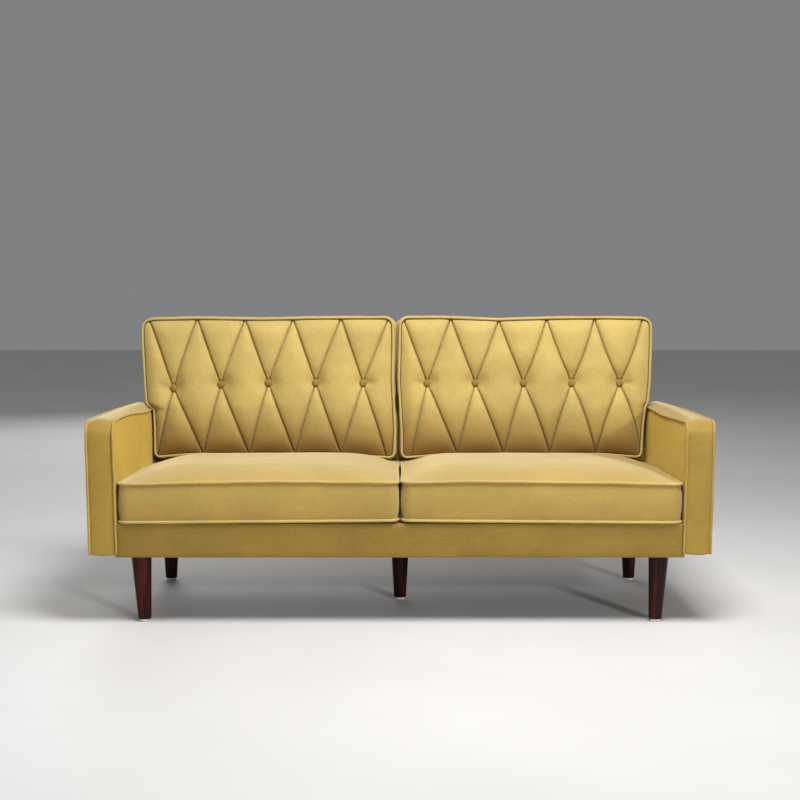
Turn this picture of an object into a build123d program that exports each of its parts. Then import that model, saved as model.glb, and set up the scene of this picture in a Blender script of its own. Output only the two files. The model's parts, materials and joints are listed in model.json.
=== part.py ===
from build123d import *
import os
from math import cos, radians, sin, tan

# Two-seat sofa: a box base, two slim arms, a raked back, loose seat and back cushions, and five legs.
# Millimetres. The front faces -Y, +Z is up, and the origin is on the floor under the middle of the box
# around the whole sofa. Left and right are as seen from in front, so left is -X.

# ---- driving dimensions -------------------------------------------------------------------------
WIDTH = 1770.0              # over the arm piping
DEPTH = 812.0               # front seat piping to the top rear edge of the back
BACK_TOP = 792.0            # top rear edge of the upholstered back
RAKE = radians(10.0)        # the back leans this far from upright

FABRIC = 2.0
LOOSE = 0.2                 # slack between a cover and what it wraps
FIT_GAP = 1.0               # air between neighbouring pieces
PAST = 50.0                 # how far a cutting shape runs past what it cuts
PIPING_R = 4.0              # cushion piping
ARM_PIPING_R = 3.5

BASE_BOTTOM = 196.0
FRAME_BOTTOM = 198.0
RAIL_TOP = 272.0
DECK_TOP = 289.0
BOARD = 25.0                # thickness of the base boards
BASE_HALF = 800.0           # half the length of the front and rear rails

ARM_BOTTOM = 203.0
ARM_FRONT = -DEPTH / 2 + 2.0 + ARM_PIPING_R
ARM_TOP_FRONT = 579.5
ARM_TOP_REAR = 561.5
ARM_CORNER_R = 32.0
ARM_OUTER = WIDTH / 2 - ARM_PIPING_R
ARM_INNER = ARM_OUTER - 77.0
ARM_SIDE_PAD = 6.0
ARM_FACE_PAD = 8.0
ARM_BOARD = 40.0
ARM_RAIL = 60.0             # height of the arm's bottom rail

RAIL_FACE = -397.0          # fabric face of the front rail, just behind the arm fronts
RAIL_PAD = 8.0

BACK_BOARD_W = (FABRIC, 5.0)         # layers of the back, measured forward from its rear face
BACK_FRAME_W = (5.0, 27.0)
BACK_WEB_W = (27.0, 28.5)
BACK_PAD_W = (28.5, 32.8)
BACK_THICKNESS = 35.0
STILE = 60.0

LEG_TOP_R = 29.0
LEG_FOOT_R = 18.5
GLIDE_R = 15.0
GLIDE_THICKNESS = 7.0
GLIDE_ROUND = 1.5
LEG_FEET = {                # axis of each leg at its foot, and at its top
    "front_left": ((-732.0, -344.0), (-740.0, -344.0)),
    "front_right": ((732.0, -344.0), (740.0, -344.0)),
    "rear_left": ((-745.0, 236.0), (-745.0, 236.0)),
    "rear_right": ((745.0, 236.0), (745.0, 236.0)),
    "centre": ((0.0, -54.0), (0.0, -54.0)),
}
HANGER_R = 4.0
HANGER_DEPTH = 40.0         # depth of the hanger bolt's hole in the leg
HANGER_LENGTH = 66.0
HANGER_END_GAP = 2.0
LEG_BLOCK_TOP = FRAME_BOTTOM + 30.0

BOLT_R = 4.0
BOLT_HOLE_R = 4.5

SEAT_FRONT = -DEPTH / 2 + PIPING_R
SEAT_INNER = FIT_GAP + PIPING_R
SEAT_OUTER = ARM_INNER - ARM_PIPING_R - FIT_GAP - PIPING_R
SEAT_BOTTOM = DECK_TOP + 0.6
SEAT_EDGE_FRONT = 405.0     # height of the top edge at the front, and at the rear
SEAT_EDGE_REAR = 388.0
SEAT_CROWN = 24.0
SEAT_CORNER_R = 25.0

BACK_CUSHION_WIDTH = 815.0
BACK_CUSHION_CENTRES = {"left": -429.5, "right": 407.0}
BACK_CUSHION_W = (BACK_THICKNESS + PIPING_R + 0.8, 119.0)
BACK_CUSHION_U = (199.5, 645.0)      # lower and upper edges, measured up the rake
BACK_CUSHION_CROWN = 14.0
BACK_CUSHION_CORNER_R = 28.0
SHOULDER_U = (380.0, 420.0)          # the cushion widens over the arm between these heights
SHOULDER_X = ARM_INNER - ARM_PIPING_R - 1.5 - PIPING_R
BUTTON_CENTRES = {"left": -428.0, "right": 401.0}
BUTTON_PITCHES = {"left": 153.5, "right": 156.0}
BUTTON_COUNT = 5
BUTTON_U = 430.0
BUTTON_DROPS = {"left": (17.0, 5.0, 0.0, 0.0, 0.0), "right": (0.0, 0.0, 0.0, 0.0, 0.0)}
BUTTON_R = 12.0

SPRING_WIRE_R = 1.8
SPRING_PITCH = 30.0
SPRING_WIDTH = 50.0
SPRING_TURNS = 20
SPRING_GAP = 0.4            # air between a spring and what is next to it
SPRING_X = (-655.0, -480.0, -305.0, -130.0, 130.0, 305.0, 480.0, 655.0)

BASE_REAR = DEPTH / 2 - (BACK_TOP - BASE_BOTTOM) * tan(RAKE)
SEAT_REAR = (
    BASE_REAR + (DECK_TOP - BASE_BOTTOM) * tan(RAKE) - BACK_THICKNESS / cos(RAKE) - PIPING_R - FIT_GAP
)
BACK = Plane(origin=(0, BASE_REAR, BASE_BOTTOM), x_dir=(1, 0, 0), z_dir=(0, -cos(RAKE), sin(RAKE)))
BACK_HEIGHT = (BACK_TOP - BASE_BOTTOM) / cos(RAKE)

os.makedirs("parts", exist_ok=True)


# ---- helpers ------------------------------------------------------------------------------------
def save(piece, node):
    """Labels a finished piece and writes it to its own STEP file."""
    piece.part.label = node
    export_step(piece.part, f"parts/{node}.step")


def rear_y(z):
    """Y of the raked rear face at height z."""
    return BASE_REAR + (z - BASE_BOTTOM) * tan(RAKE)


def span(side, near, far):
    """X limits from near to far of the middle, on the left or the right."""
    return (near, far) if side == "right" else (-far, -near)


def block(x, y, z):
    """A board or slab between three pairs of limits."""
    with BuildPart() as piece:
        with BuildSketch(Plane.XY.offset(z[0])):
            with Locations(((x[0] + x[1]) / 2, (y[0] + y[1]) / 2)):
                Rectangle(x[1] - x[0], y[1] - y[0])
        extrude(amount=z[1] - z[0])
    return piece


def prism(outline, radii, x):
    """A side outline of (Y, Z) points, with one corner radius each, drawn straight along X."""
    with BuildPart() as piece:
        with BuildSketch(Plane.YZ.offset(x[0])):
            with BuildLine():
                FilletPolyline(*outline, radius=radii, close=True)
            make_face()
        extrude(amount=x[1] - x[0])
    return piece


def raked_block(x, u, w):
    """A slab in the back's own directions: x across, u up the rake, w forward of the rear face."""
    with BuildPart() as piece:
        with BuildSketch(BACK.offset(w[0])):
            with Locations(((x[0] + x[1]) / 2, (u[0] + u[1]) / 2)):
                Rectangle(x[1] - x[0], u[1] - u[0])
        extrude(amount=w[1] - w[0])
    return piece


def drilled(piece, planes, radius, reach):
    """The piece with a round hole of the given reach each way along the normal of each plane."""
    with BuildPart() as result:
        add(piece.part)
        for plane in planes:
            with BuildSketch(plane):
                Circle(radius)
            extrude(amount=reach, both=True, mode=Mode.SUBTRACT)
    return result


def joined(*pieces):
    """Separate solids gathered into one node."""
    with BuildPart() as group:
        for piece in pieces:
            add(piece.part)
    return group


# ---- fastener places ----------------------------------------------------------------------------
BASE_BOLT_Y = (-250.0, 130.0)
BASE_BOLT_Z = 240.0
BACK_BOLT_U = (200.0, 320.0)
BACK_BOLT_W = sum(BACK_FRAME_W) / 2
BACK_HALF = ARM_INNER - FABRIC - LOOSE      # half the width of the wooden back
SIDE_SIGN = {"left": -1, "right": 1}


def bolt_planes(side):
    """Planes at the bolts that hold an arm, under their heads and facing the arm: base, then back."""
    sign = SIDE_SIGN[side]
    base = [Vector(sign * (BASE_HALF - BOARD), y, BASE_BOLT_Z) for y in BASE_BOLT_Y]
    stile_face = sign * (BACK_HALF - STILE)
    back = [BACK.from_local_coords(Vector(stile_face, u, BACK_BOLT_W)) for u in BACK_BOLT_U]
    return [[Plane(origin=spot, z_dir=(sign, 0, 0)) for spot in spots] for spots in (base, back)]


BOLTS = {side: bolt_planes(side) for side in SIDE_SIGN}
BOLT_LENGTHS = (70.0, 108.0)
BOLT_END_GAP = 2.0          # the hole runs this far past the bolt
BOLT_REACHES = tuple(length + BOLT_END_GAP for length in BOLT_LENGTHS)


def bolt_holes(piece, side, radius, base=True, back=True):
    """The piece with the holes for one arm's bolts."""
    wanted = (base, back)
    for group, reach, cut in zip(BOLTS[side], BOLT_REACHES, wanted):
        if cut:
            piece = drilled(piece, group, radius, reach)
    return piece


# ---- base ---------------------------------------------------------------------------------------
rail_front = RAIL_FACE + FABRIC + RAIL_PAD + LOOSE
rear_rail_front = 249.0
rail_z = (FRAME_BOTTOM, RAIL_TOP)
stile_front_low = rear_y(FRAME_BOTTOM) - BACK_FRAME_W[1] / cos(RAKE)
stile_front_high = rear_y(RAIL_TOP) - BACK_FRAME_W[1] / cos(RAKE)

front_rail = block((-BASE_HALF, BASE_HALF), (rail_front, rail_front + BOARD), rail_z)
save(front_rail, "front_rail")

rear_rail = prism(
    [
        (rear_rail_front, FRAME_BOTTOM),
        (stile_front_low - FIT_GAP, FRAME_BOTTOM),
        (stile_front_high - FIT_GAP, RAIL_TOP),
        (rear_rail_front, RAIL_TOP),
    ],
    0,
    (-BASE_HALF, BASE_HALF),
)
save(rear_rail, "rear_rail")

between_rails = (rail_front + BOARD, rear_rail_front)
for side in SIDE_SIGN:
    side_rail = block(span(side, BASE_HALF - BOARD, BASE_HALF), between_rails, rail_z)
    side_rail = bolt_holes(side_rail, side, BOLT_HOLE_R, back=False)
    save(side_rail, f"side_rail_{side}")

centre_rail = block((-BOARD / 2, BOARD / 2), between_rails, (LEG_BLOCK_TOP + 2.0, RAIL_TOP))
save(centre_rail, "centre_rail")

# One block is glued behind each leg. The hole in it takes the barrel of the T-nut.
T_NUT_BARREL_R = 5.3
T_NUT_BARREL = 14.0
T_NUT_FLANGE_R = 11.0
T_NUT_FLANGE = 1.5
HOLE_SLACK = 0.1            # added to the radius of a close-fitting hole
BLOCK_SIZE = 78.0


def leg_block(leg):
    """The block over one leg, pushed into its corner, or across the centre rail."""
    (_, _), (x, y) = LEG_FEET[leg]
    half = BLOCK_SIZE / 2
    low_y = between_rails[0] if "front" in leg else between_rails[1] - BLOCK_SIZE
    y_limits = (y - half, y + half) if leg == "centre" else (low_y, low_y + BLOCK_SIZE)
    corner = BASE_HALF - BOARD
    x_limits = (-half, half) if leg == "centre" else span(leg.split("_")[1], corner - BLOCK_SIZE, corner)
    piece = block(x_limits, y_limits, (FRAME_BOTTOM, LEG_BLOCK_TOP))
    under = Plane.XY.move(Location((x, y, FRAME_BOTTOM)))
    return drilled(piece, [under], T_NUT_BARREL_R + HOLE_SLACK, PAST)


save(joined(*[leg_block(leg) for leg in LEG_FEET]), "leg_blocks")

# Zigzag springs run front to back on the rails, held at each end by a clip.
spring_z = RAIL_TOP + SPRING_WIRE_R + SPRING_GAP
spring_front = (rear_rail_front + rail_front + BOARD) / 2 - SPRING_TURNS * SPRING_PITCH / 2
spring_bend = SPRING_PITCH / 2
spring_straight = SPRING_WIDTH / 2 - spring_bend

with BuildPart() as seat_springs:
    for x in SPRING_X:
        with BuildLine(Plane.XY.offset(spring_z)) as wire_path:
            for turn in range(SPRING_TURNS + 1):
                y = spring_front + turn * SPRING_PITCH
                way = 1 if turn % 2 else -1
                start, end = (x - way * spring_straight, y), (x + way * spring_straight, y)
                Line(start, end)
                if turn < SPRING_TURNS:
                    bend_mid = (end[0] + way * spring_bend, y + spring_bend)
                    ThreePointArc(end, bend_mid, (end[0], y + SPRING_PITCH))
        with BuildSketch(Plane(origin=wire_path.line @ 0, z_dir=wire_path.line % 0)):
            Circle(SPRING_WIRE_R)
        sweep(path=wire_path.line)
save(seat_springs, "seat_springs")

CLIP_WIDTH = 30.0
CLIP_SHEET = 1.2
CLIP_FOOT = 14.0
CLIP_HOOK = 10.0
clip_height = 2 * (SPRING_WIRE_R + SPRING_GAP)
clip_front = spring_front - SPRING_WIRE_R - SPRING_GAP
clip_rear = spring_front + SPRING_TURNS * SPRING_PITCH + SPRING_WIRE_R + SPRING_GAP


def clip_outline(y, way):
    """A hooked strip: flat on the rail, folded back over the end bar of the spring."""
    top = RAIL_TOP + clip_height + CLIP_SHEET
    return [
        (y - way * CLIP_FOOT, RAIL_TOP),
        (y, RAIL_TOP),
        (y, top - CLIP_SHEET),
        (y + way * CLIP_HOOK, top - CLIP_SHEET),
        (y + way * CLIP_HOOK, top),
        (y - way * CLIP_SHEET, top),
        (y - way * CLIP_SHEET, RAIL_TOP + CLIP_SHEET),
        (y - way * CLIP_FOOT, RAIL_TOP + CLIP_SHEET),
    ]


with BuildPart() as spring_clips:
    for x in SPRING_X:
        for y, way in ((clip_front, 1), (clip_rear, -1)):
            with BuildSketch(Plane.YZ.offset(x - CLIP_WIDTH / 2)):
                with BuildLine():
                    Polyline(*clip_outline(y, way), close=True)
                make_face()
            extrude(amount=CLIP_WIDTH)
save(spring_clips, "spring_clips")

pad_bottom = RAIL_TOP + clip_height + CLIP_SHEET + SPRING_GAP
deck_rear = rear_y(DECK_TOP) - (BACK_THICKNESS + LOOSE) / cos(RAKE) - FIT_GAP
deck_pad_z = (pad_bottom, DECK_TOP - FABRIC - LOOSE)
deck_pad = block((-BASE_HALF, BASE_HALF), (rail_front, deck_rear - FABRIC), deck_pad_z)
save(deck_pad, "deck_pad")

rail_padding = block(
    (-BASE_HALF, BASE_HALF), (rail_front - RAIL_PAD, rail_front), (FRAME_BOTTOM, DECK_TOP - FABRIC - LOOSE)
)
save(rail_padding, "rail_padding")

# The base cover is one sewn piece: a short turn under the rail, the rail face and the deck cloth.
cover_turn = 20.0
base_cover = prism(
    [
        (RAIL_FACE, BASE_BOTTOM),
        (RAIL_FACE + cover_turn, BASE_BOTTOM),
        (RAIL_FACE + cover_turn, FRAME_BOTTOM),
        (RAIL_FACE + FABRIC, FRAME_BOTTOM),
        (RAIL_FACE + FABRIC, DECK_TOP - FABRIC),
        (deck_rear, DECK_TOP - FABRIC),
        (deck_rear, DECK_TOP),
        (RAIL_FACE, DECK_TOP),
    ],
    0,
    (-ARM_INNER, ARM_INNER),
)
save(base_cover, "base_cover")

DUST_CLOTH = 1.0
dust_rear = rear_y(FRAME_BOTTOM - DUST_CLOTH) - (FABRIC + LOOSE) / cos(RAKE) - LOOSE
dust_y = (RAIL_FACE + cover_turn, dust_rear)
dust_cover = block((-BASE_HALF, BASE_HALF), dust_y, (FRAME_BOTTOM - DUST_CLOTH, FRAME_BOTTOM))
leg_tops = [Plane.XY.move(Location((*top, FRAME_BOTTOM))) for _, top in LEG_FEET.values()]
save(drilled(dust_cover, leg_tops, LEG_TOP_R + FIT_GAP, PAST), "dust_cover")


# ---- arms ---------------------------------------------------------------------------------------
def arm_outline(inset, bottom):
    """The arm's side outline, drawn in at the front, top and rear."""
    front = ARM_FRONT + inset
    rear_top = ARM_TOP_REAR - inset
    rear_inset = inset / cos(RAKE)
    return [
        (front, bottom),
        (front, ARM_TOP_FRONT - inset),
        (rear_y(rear_top) - rear_inset, rear_top),
        (rear_y(bottom) - rear_inset, bottom),
    ]


def arm_body(inset, bottom, x):
    """A solid of the arm's shape, drawn in by inset all round."""
    return prism(arm_outline(inset, bottom), [0, ARM_CORNER_R - inset, 0, 0], x)


def without(piece, cutter):
    """The piece less the cutter."""
    with BuildPart() as result:
        add(piece.part)
        add(cutter.part, mode=Mode.SUBTRACT)
    return result


def common(piece, keeper):
    """What the piece shares with the keeper."""
    with BuildPart() as result:
        add(piece.part)
        add(keeper.part, mode=Mode.INTERSECT)
    return result


def piping_along(x):
    """Piping up the arm's front edge, round the corner and back along the top edge."""
    low_front, high_front, high_rear, _ = arm_outline(0.0, ARM_BOTTOM)
    with BuildPart() as piping:
        with BuildLine(Plane.YZ.offset(x)) as path:
            FilletPolyline(low_front, high_front, high_rear, radius=ARM_CORNER_R)
        with BuildSketch(Plane(origin=path.line @ 0, z_dir=path.line % 0)):
            Circle(ARM_PIPING_R)
        sweep(path=path.line)
    return piping


def arm(side):
    """One arm: wooden frame, padding, cover and piping."""
    face_pad = FABRIC + LOOSE + ARM_FACE_PAD
    side_pad = FABRIC + LOOSE + ARM_SIDE_PAD
    wood_x = span(side, ARM_INNER + side_pad, ARM_OUTER - side_pad)
    wood_bottom = ARM_BOTTOM + FABRIC + LOOSE
    wood = arm_body(face_pad, wood_bottom, wood_x)
    front = ARM_FRONT + face_pad
    slope = (ARM_TOP_REAR - ARM_TOP_FRONT) / (rear_y(ARM_TOP_REAR) - ARM_FRONT)
    board_low = ARM_TOP_FRONT - face_pad - ARM_BOARD / 2
    far = rear_y(ARM_TOP_REAR) + PAST
    under_top = [
        (front - PAST, board_low - PAST * slope),
        (far, board_low + (far - front) * slope),
        (far, wood_bottom - PAST),
        (front - PAST, wood_bottom - PAST),
    ]
    below_board = prism(under_top, 0, wood_x)
    save(without(wood, below_board), f"arm_top_board_{side}")

    front_slab = block(wood_x, (front, front + ARM_BOARD), (wood_bottom, ARM_TOP_FRONT))
    save(common(common(wood, below_board), front_slab), f"arm_front_post_{side}")

    rear_low = rear_y(wood_bottom) - face_pad / cos(RAKE)
    lean = (ARM_TOP_REAR - wood_bottom) * tan(RAKE)
    strip_low = (rear_low - ARM_BOARD, rear_low + FIT_GAP)
    strip_low_points = [(y, wood_bottom) for y in strip_low]
    strip_high_points = [(y + lean, ARM_TOP_REAR) for y in reversed(strip_low)]
    rear_strip = prism(strip_low_points + strip_high_points, 0, wood_x)
    rear_post = common(common(wood, below_board), rear_strip)
    save(bolt_holes(rear_post, side, BOLT_R + HOLE_SLACK, base=False), f"arm_rear_post_{side}")

    rail_limits = (front + ARM_BOARD, rear_low - ARM_BOARD)
    bottom_rail = block(wood_x, rail_limits, (wood_bottom, wood_bottom + ARM_RAIL))
    save(bolt_holes(bottom_rail, side, BOLT_R + HOLE_SLACK, back=False), f"arm_bottom_rail_{side}")

    skin = FABRIC + LOOSE
    pad = arm_body(skin, wood_bottom, span(side, ARM_INNER + skin, ARM_OUTER - skin))
    pad_hollow = arm_body(face_pad, wood_bottom - PAST, wood_x)
    pad = bolt_holes(without(pad, pad_hollow), side, BOLT_HOLE_R)
    piping_x = [SIDE_SIGN[side] * x for x in (ARM_INNER, ARM_OUTER)]
    piping = joined(*[piping_along(x) for x in piping_x])
    save(without(pad, piping), f"arm_padding_{side}")

    back_reach = ARM_INNER + ARM_PIPING_R + FIT_GAP
    back_space = raked_block((-back_reach, back_reach), (0.0, BACK_HEIGHT), (-PAST, BACK_THICKNESS + LOOSE))
    save(without(piping, back_space), f"arm_piping_{side}")

    cover = arm_body(0.0, ARM_BOTTOM, span(side, ARM_INNER, ARM_OUTER))
    hollow = arm_body(FABRIC, ARM_BOTTOM + FABRIC, span(side, ARM_INNER + FABRIC, ARM_OUTER - FABRIC))
    cover = without(without(cover, hollow), piping)
    save(bolt_holes(cover, side, BOLT_HOLE_R), f"arm_cover_{side}")


for side in SIDE_SIGN:
    arm(side)


# ---- back ---------------------------------------------------------------------------------------
BACK_FRAME_INSET = 4.0
frame_u = (BACK_FRAME_INSET, BACK_HEIGHT - FABRIC - LOOSE - BACK_FRAME_INSET)
stile_x = {
    "left": (-BACK_HALF, -BACK_HALF + STILE),
    "centre": (-STILE / 2, STILE / 2),
    "right": (BACK_HALF - STILE, BACK_HALF),
}
stiles = [raked_block(x, frame_u, BACK_FRAME_W) for x in stile_x.values()]


def back_bolt_holes(piece):
    """The piece with the holes for both arms' upper bolts."""
    for side in SIDE_SIGN:
        piece = bolt_holes(piece, side, BOLT_HOLE_R, base=False)
    return piece


save(back_bolt_holes(joined(*stiles)), "back_stiles")


def cross_rail(u):
    """Two lengths of rail between the three stiles."""
    gaps = [(stile_x["left"][1], stile_x["centre"][0]), (stile_x["centre"][1], stile_x["right"][0])]
    return joined(*[raked_block(x, u, BACK_FRAME_W) for x in gaps])


save(cross_rail((frame_u[1] - STILE, frame_u[1])), "back_top_rail")
DECK_CLEARANCE = 8.0
deck_u = (DECK_TOP - BASE_BOTTOM) / cos(RAKE) + DECK_CLEARANCE
save(cross_rail((deck_u, deck_u + STILE)), "back_bottom_rail")

strap_width = 60.0
strap_count = 4
strap_pitch = (BACK_HALF - STILE * 1.5) / (strap_count + 1)
strap_x = [sign * (STILE / 2 + strap_pitch * (1 + i)) for sign in (-1, 1) for i in range(strap_count)]
strap_u = (deck_u, frame_u[1])
straps = [raked_block((x - strap_width / 2, x + strap_width / 2), strap_u, BACK_WEB_W) for x in strap_x]
save(joined(*straps), "back_webbing")

save(raked_block((-BACK_HALF, BACK_HALF), frame_u, BACK_BOARD_W), "back_board")
pad_u = (deck_u - DECK_CLEARANCE / 2, frame_u[1] + BACK_FRAME_INSET - FIT_GAP)
save(raked_block((-BACK_HALF, BACK_HALF), pad_u, BACK_PAD_W), "back_padding")

# The cover is a sleeve pulled down over the back: open below, and at the front only above the deck.
sleeve = raked_block((-ARM_INNER, ARM_INNER), (0.0, BACK_HEIGHT), (0.0, BACK_THICKNESS))
fill_w = (FABRIC, BACK_THICKNESS - FABRIC)
fill = raked_block((-ARM_INNER + FABRIC, ARM_INNER - FABRIC), (-PAST, BACK_HEIGHT - FABRIC), fill_w)
front_cut_w = (BACK_FRAME_W[1] + FIT_GAP, BACK_THICKNESS + PAST)
front_cut = raked_block((-WIDTH, WIDTH), (-PAST, deck_u - DECK_CLEARANCE + FABRIC), front_cut_w)
back_cover = without(without(sleeve, fill), front_cut)
save(back_bolt_holes(back_cover), "back_cover")


# ---- frame bolts --------------------------------------------------------------------------------
WASHER = 2.0
WASHER_R = 10.0
BOLT_HEAD = 7.0
BOLT_HEAD_R = 7.5
with BuildPart() as frame_bolts:
    for places, length in [pair for side in SIDE_SIGN for pair in zip(BOLTS[side], BOLT_LENGTHS)]:
        for place in places:
            with BuildSketch(place.offset(-WASHER)):
                Circle(WASHER_R)
            extrude(amount=WASHER)
            with BuildSketch(place.offset(-WASHER - BOLT_HEAD)):
                RegularPolygon(BOLT_HEAD_R, 6)
            extrude(amount=BOLT_HEAD)
            with BuildSketch(place):
                Circle(BOLT_R)
            extrude(amount=length)
save(frame_bolts, "frame_bolts")


# ---- legs ---------------------------------------------------------------------------------------
def taper_leg(foot, top):
    """A round leg, wider at the top, bored for its hanger bolt."""
    with BuildPart() as leg:
        with BuildSketch(Plane.XY.offset(GLIDE_THICKNESS)):
            with Locations(foot):
                Circle(LEG_FOOT_R)
        with BuildSketch(Plane.XY.offset(FRAME_BOTTOM)):
            with Locations(top):
                Circle(LEG_TOP_R)
        loft()
        with BuildSketch(Plane.XY.offset(FRAME_BOTTOM - HANGER_DEPTH)):
            with Locations(top):
                Circle(HANGER_R + HOLE_SLACK)
        extrude(amount=HANGER_DEPTH, mode=Mode.SUBTRACT)
    return leg


def glide(foot):
    """A plastic disc with a softened rim under one leg."""
    with BuildPart() as disc:
        with BuildSketch():
            with Locations(foot):
                Circle(GLIDE_R)
        extrude(amount=GLIDE_THICKNESS)
        fillet(disc.edges().group_by(Axis.Z)[0], GLIDE_ROUND)
    return disc


def hanger_bolt(top):
    """A headless bolt, half in the leg and half in the T-nut."""
    with BuildPart() as stud:
        with BuildSketch(Plane.XY.offset(FRAME_BOTTOM - HANGER_DEPTH + HANGER_END_GAP)):
            with Locations(top):
                Circle(HANGER_R)
        extrude(amount=HANGER_LENGTH)
    return stud


def t_nut(top):
    """A barrel in the leg block with a flange on top of it."""
    with BuildPart() as nut:
        with BuildSketch(Plane.XY.offset(LEG_BLOCK_TOP - T_NUT_BARREL)):
            with Locations(top):
                Circle(T_NUT_BARREL_R)
        extrude(amount=T_NUT_BARREL)
        with BuildSketch(Plane.XY.offset(LEG_BLOCK_TOP)):
            with Locations(top):
                Circle(T_NUT_FLANGE_R)
        extrude(amount=T_NUT_FLANGE)
        with BuildSketch(Plane.XY.offset(LEG_BLOCK_TOP - T_NUT_BARREL)):
            with Locations(top):
                Circle(HANGER_R + HOLE_SLACK)
        extrude(amount=PAST, mode=Mode.SUBTRACT)
    return nut


for leg_name, (foot, top) in LEG_FEET.items():
    save(taper_leg(foot, top), f"leg_{leg_name}")
save(joined(*[glide(foot) for foot, _ in LEG_FEET.values()]), "leg_glides")
save(joined(*[hanger_bolt(top) for _, top in LEG_FEET.values()]), "leg_hanger_bolts")
save(joined(*[t_nut(top) for _, top in LEG_FEET.values()]), "leg_t_nuts")


# ---- seat cushions ------------------------------------------------------------------------------
SEAT_SLOPE = (SEAT_EDGE_FRONT - SEAT_EDGE_REAR) / (SEAT_REAR - SEAT_FRONT)
SEAT_MID_Y = (SEAT_FRONT + SEAT_REAR) / 2
SEAT_MID_EDGE = (SEAT_EDGE_FRONT + SEAT_EDGE_REAR) / 2
SEAT_DEPTH = SEAT_REAR - SEAT_FRONT
SEAT_WIDTH = SEAT_OUTER - SEAT_INNER
CROWN_REAR = 196.0          # the crown ends here, just in front of the back cushion
CROWN_TAPER = 60.0
ZIP_HEIGHT = 8.0
ZIP_RISE = 45.0             # height of the zip above the cushion's underside
ZIP_LENGTH = 600.0


def seat_top_plane(side):
    """The plane of the cushion's top edge, which falls slightly towards the rear."""
    x = SIDE_SIGN[side] * (SEAT_INNER + SEAT_OUTER) / 2
    return Plane(origin=(x, SEAT_MID_Y, SEAT_MID_EDGE), x_dir=(1, 0, 0), z_dir=(0, SEAT_SLOPE, 1))


def seat_solid(side, inset, crown):
    """The cushion's shape drawn in by inset, with or without its crowned top."""
    x, top = SIDE_SIGN[side] * (SEAT_INNER + SEAT_OUTER) / 2, seat_top_plane(side)
    with BuildPart() as body:
        with BuildSketch(Plane.XY.offset(SEAT_BOTTOM + inset)):
            with Locations((x, SEAT_MID_Y)):
                RectangleRounded(SEAT_WIDTH - 2 * inset, SEAT_DEPTH - 2 * inset, SEAT_CORNER_R - inset)
        extrude(amount=SEAT_EDGE_FRONT + PAST - SEAT_BOTTOM)
        split(bisect_by=top.offset(-inset), keep=Keep.BOTTOM)
        if crown:
            crown_depth = CROWN_REAR - SEAT_FRONT
            with BuildSketch(top.offset(-inset)):
                with Locations((0, (crown_depth - SEAT_DEPTH) / 2)):
                    RectangleRounded(SEAT_WIDTH - 2 * inset, crown_depth - 2 * inset, SEAT_CORNER_R - inset)
            extrude(amount=SEAT_CROWN, taper=CROWN_TAPER)
    return body


def ring(plane, width, depth, corner, radius):
    """A closed loop of round piping along a rounded rectangle."""
    with BuildPart() as loop:
        with BuildLine(plane) as path:
            half_x, half_y = width / 2, depth / 2
            corners = [(-half_x, -half_y), (half_x, -half_y), (half_x, half_y), (-half_x, half_y)]
            FilletPolyline(*corners, radius=corner, close=True)
        with BuildSketch(Plane(origin=path.line @ 0, z_dir=path.line % 0)):
            Circle(radius)
        sweep(path=path.line)
    return loop


def seat_piping(side, radius):
    """Piping round the top edge and round the bottom edge."""
    x = SIDE_SIGN[side] * (SEAT_INNER + SEAT_OUTER) / 2
    low = Plane(origin=(x, SEAT_MID_Y, SEAT_BOTTOM + PIPING_R), x_dir=(1, 0, 0), z_dir=(0, 0, 1))
    planes = (seat_top_plane(side), low)
    return joined(*[ring(plane, SEAT_WIDTH, SEAT_DEPTH, SEAT_CORNER_R, radius) for plane in planes])


def seat_cushion(side):
    """One seat cushion: foam, cover, piping and the zip in its rear face."""
    x = SIDE_SIGN[side] * (SEAT_INNER + SEAT_OUTER) / 2
    zip_x = (x - ZIP_LENGTH / 2, x + ZIP_LENGTH / 2)
    zip_z = (SEAT_BOTTOM + ZIP_RISE, SEAT_BOTTOM + ZIP_RISE + ZIP_HEIGHT)
    groove = seat_piping(side, PIPING_R + LOOSE)
    save(seat_piping(side, PIPING_R), f"seat_cushion_{side}_piping")
    cover = without(seat_solid(side, 0.0, True), seat_solid(side, FABRIC, True))
    slot = block(zip_x, (SEAT_REAR - FABRIC, SEAT_REAR + PAST), zip_z)
    save(without(without(cover, groove), slot), f"seat_cushion_{side}_cover")
    save(block(zip_x, (SEAT_REAR - FABRIC, SEAT_REAR), zip_z), f"seat_cushion_{side}_zip")
    save(without(seat_solid(side, FABRIC + LOOSE, True), groove), f"seat_cushion_{side}_foam")


for side in SIDE_SIGN:
    seat_cushion(side)


# ---- back cushions ------------------------------------------------------------------------------
def back_outline(side, inset):
    """The cushion's outline across the back: narrow between the arms, wider above them."""
    centre, sign = BACK_CUSHION_CENTRES[side], SIDE_SIGN[side]
    inner = centre - sign * (BACK_CUSHION_WIDTH / 2 - inset)
    outer = centre + sign * (BACK_CUSHION_WIDTH / 2 - inset)
    waist = sign * (SHOULDER_X - inset)
    low, high = BACK_CUSHION_U[0] + inset, BACK_CUSHION_U[1] - inset
    points = [
        (inner, low),
        (waist, low),
        (waist, SHOULDER_U[0] + inset / 2),
        (outer, SHOULDER_U[1] + inset / 2),
        (outer, high),
        (inner, high),
    ]
    big = BACK_CUSHION_CORNER_R - inset
    return points, [big, big, big, big, big, big]


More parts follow.
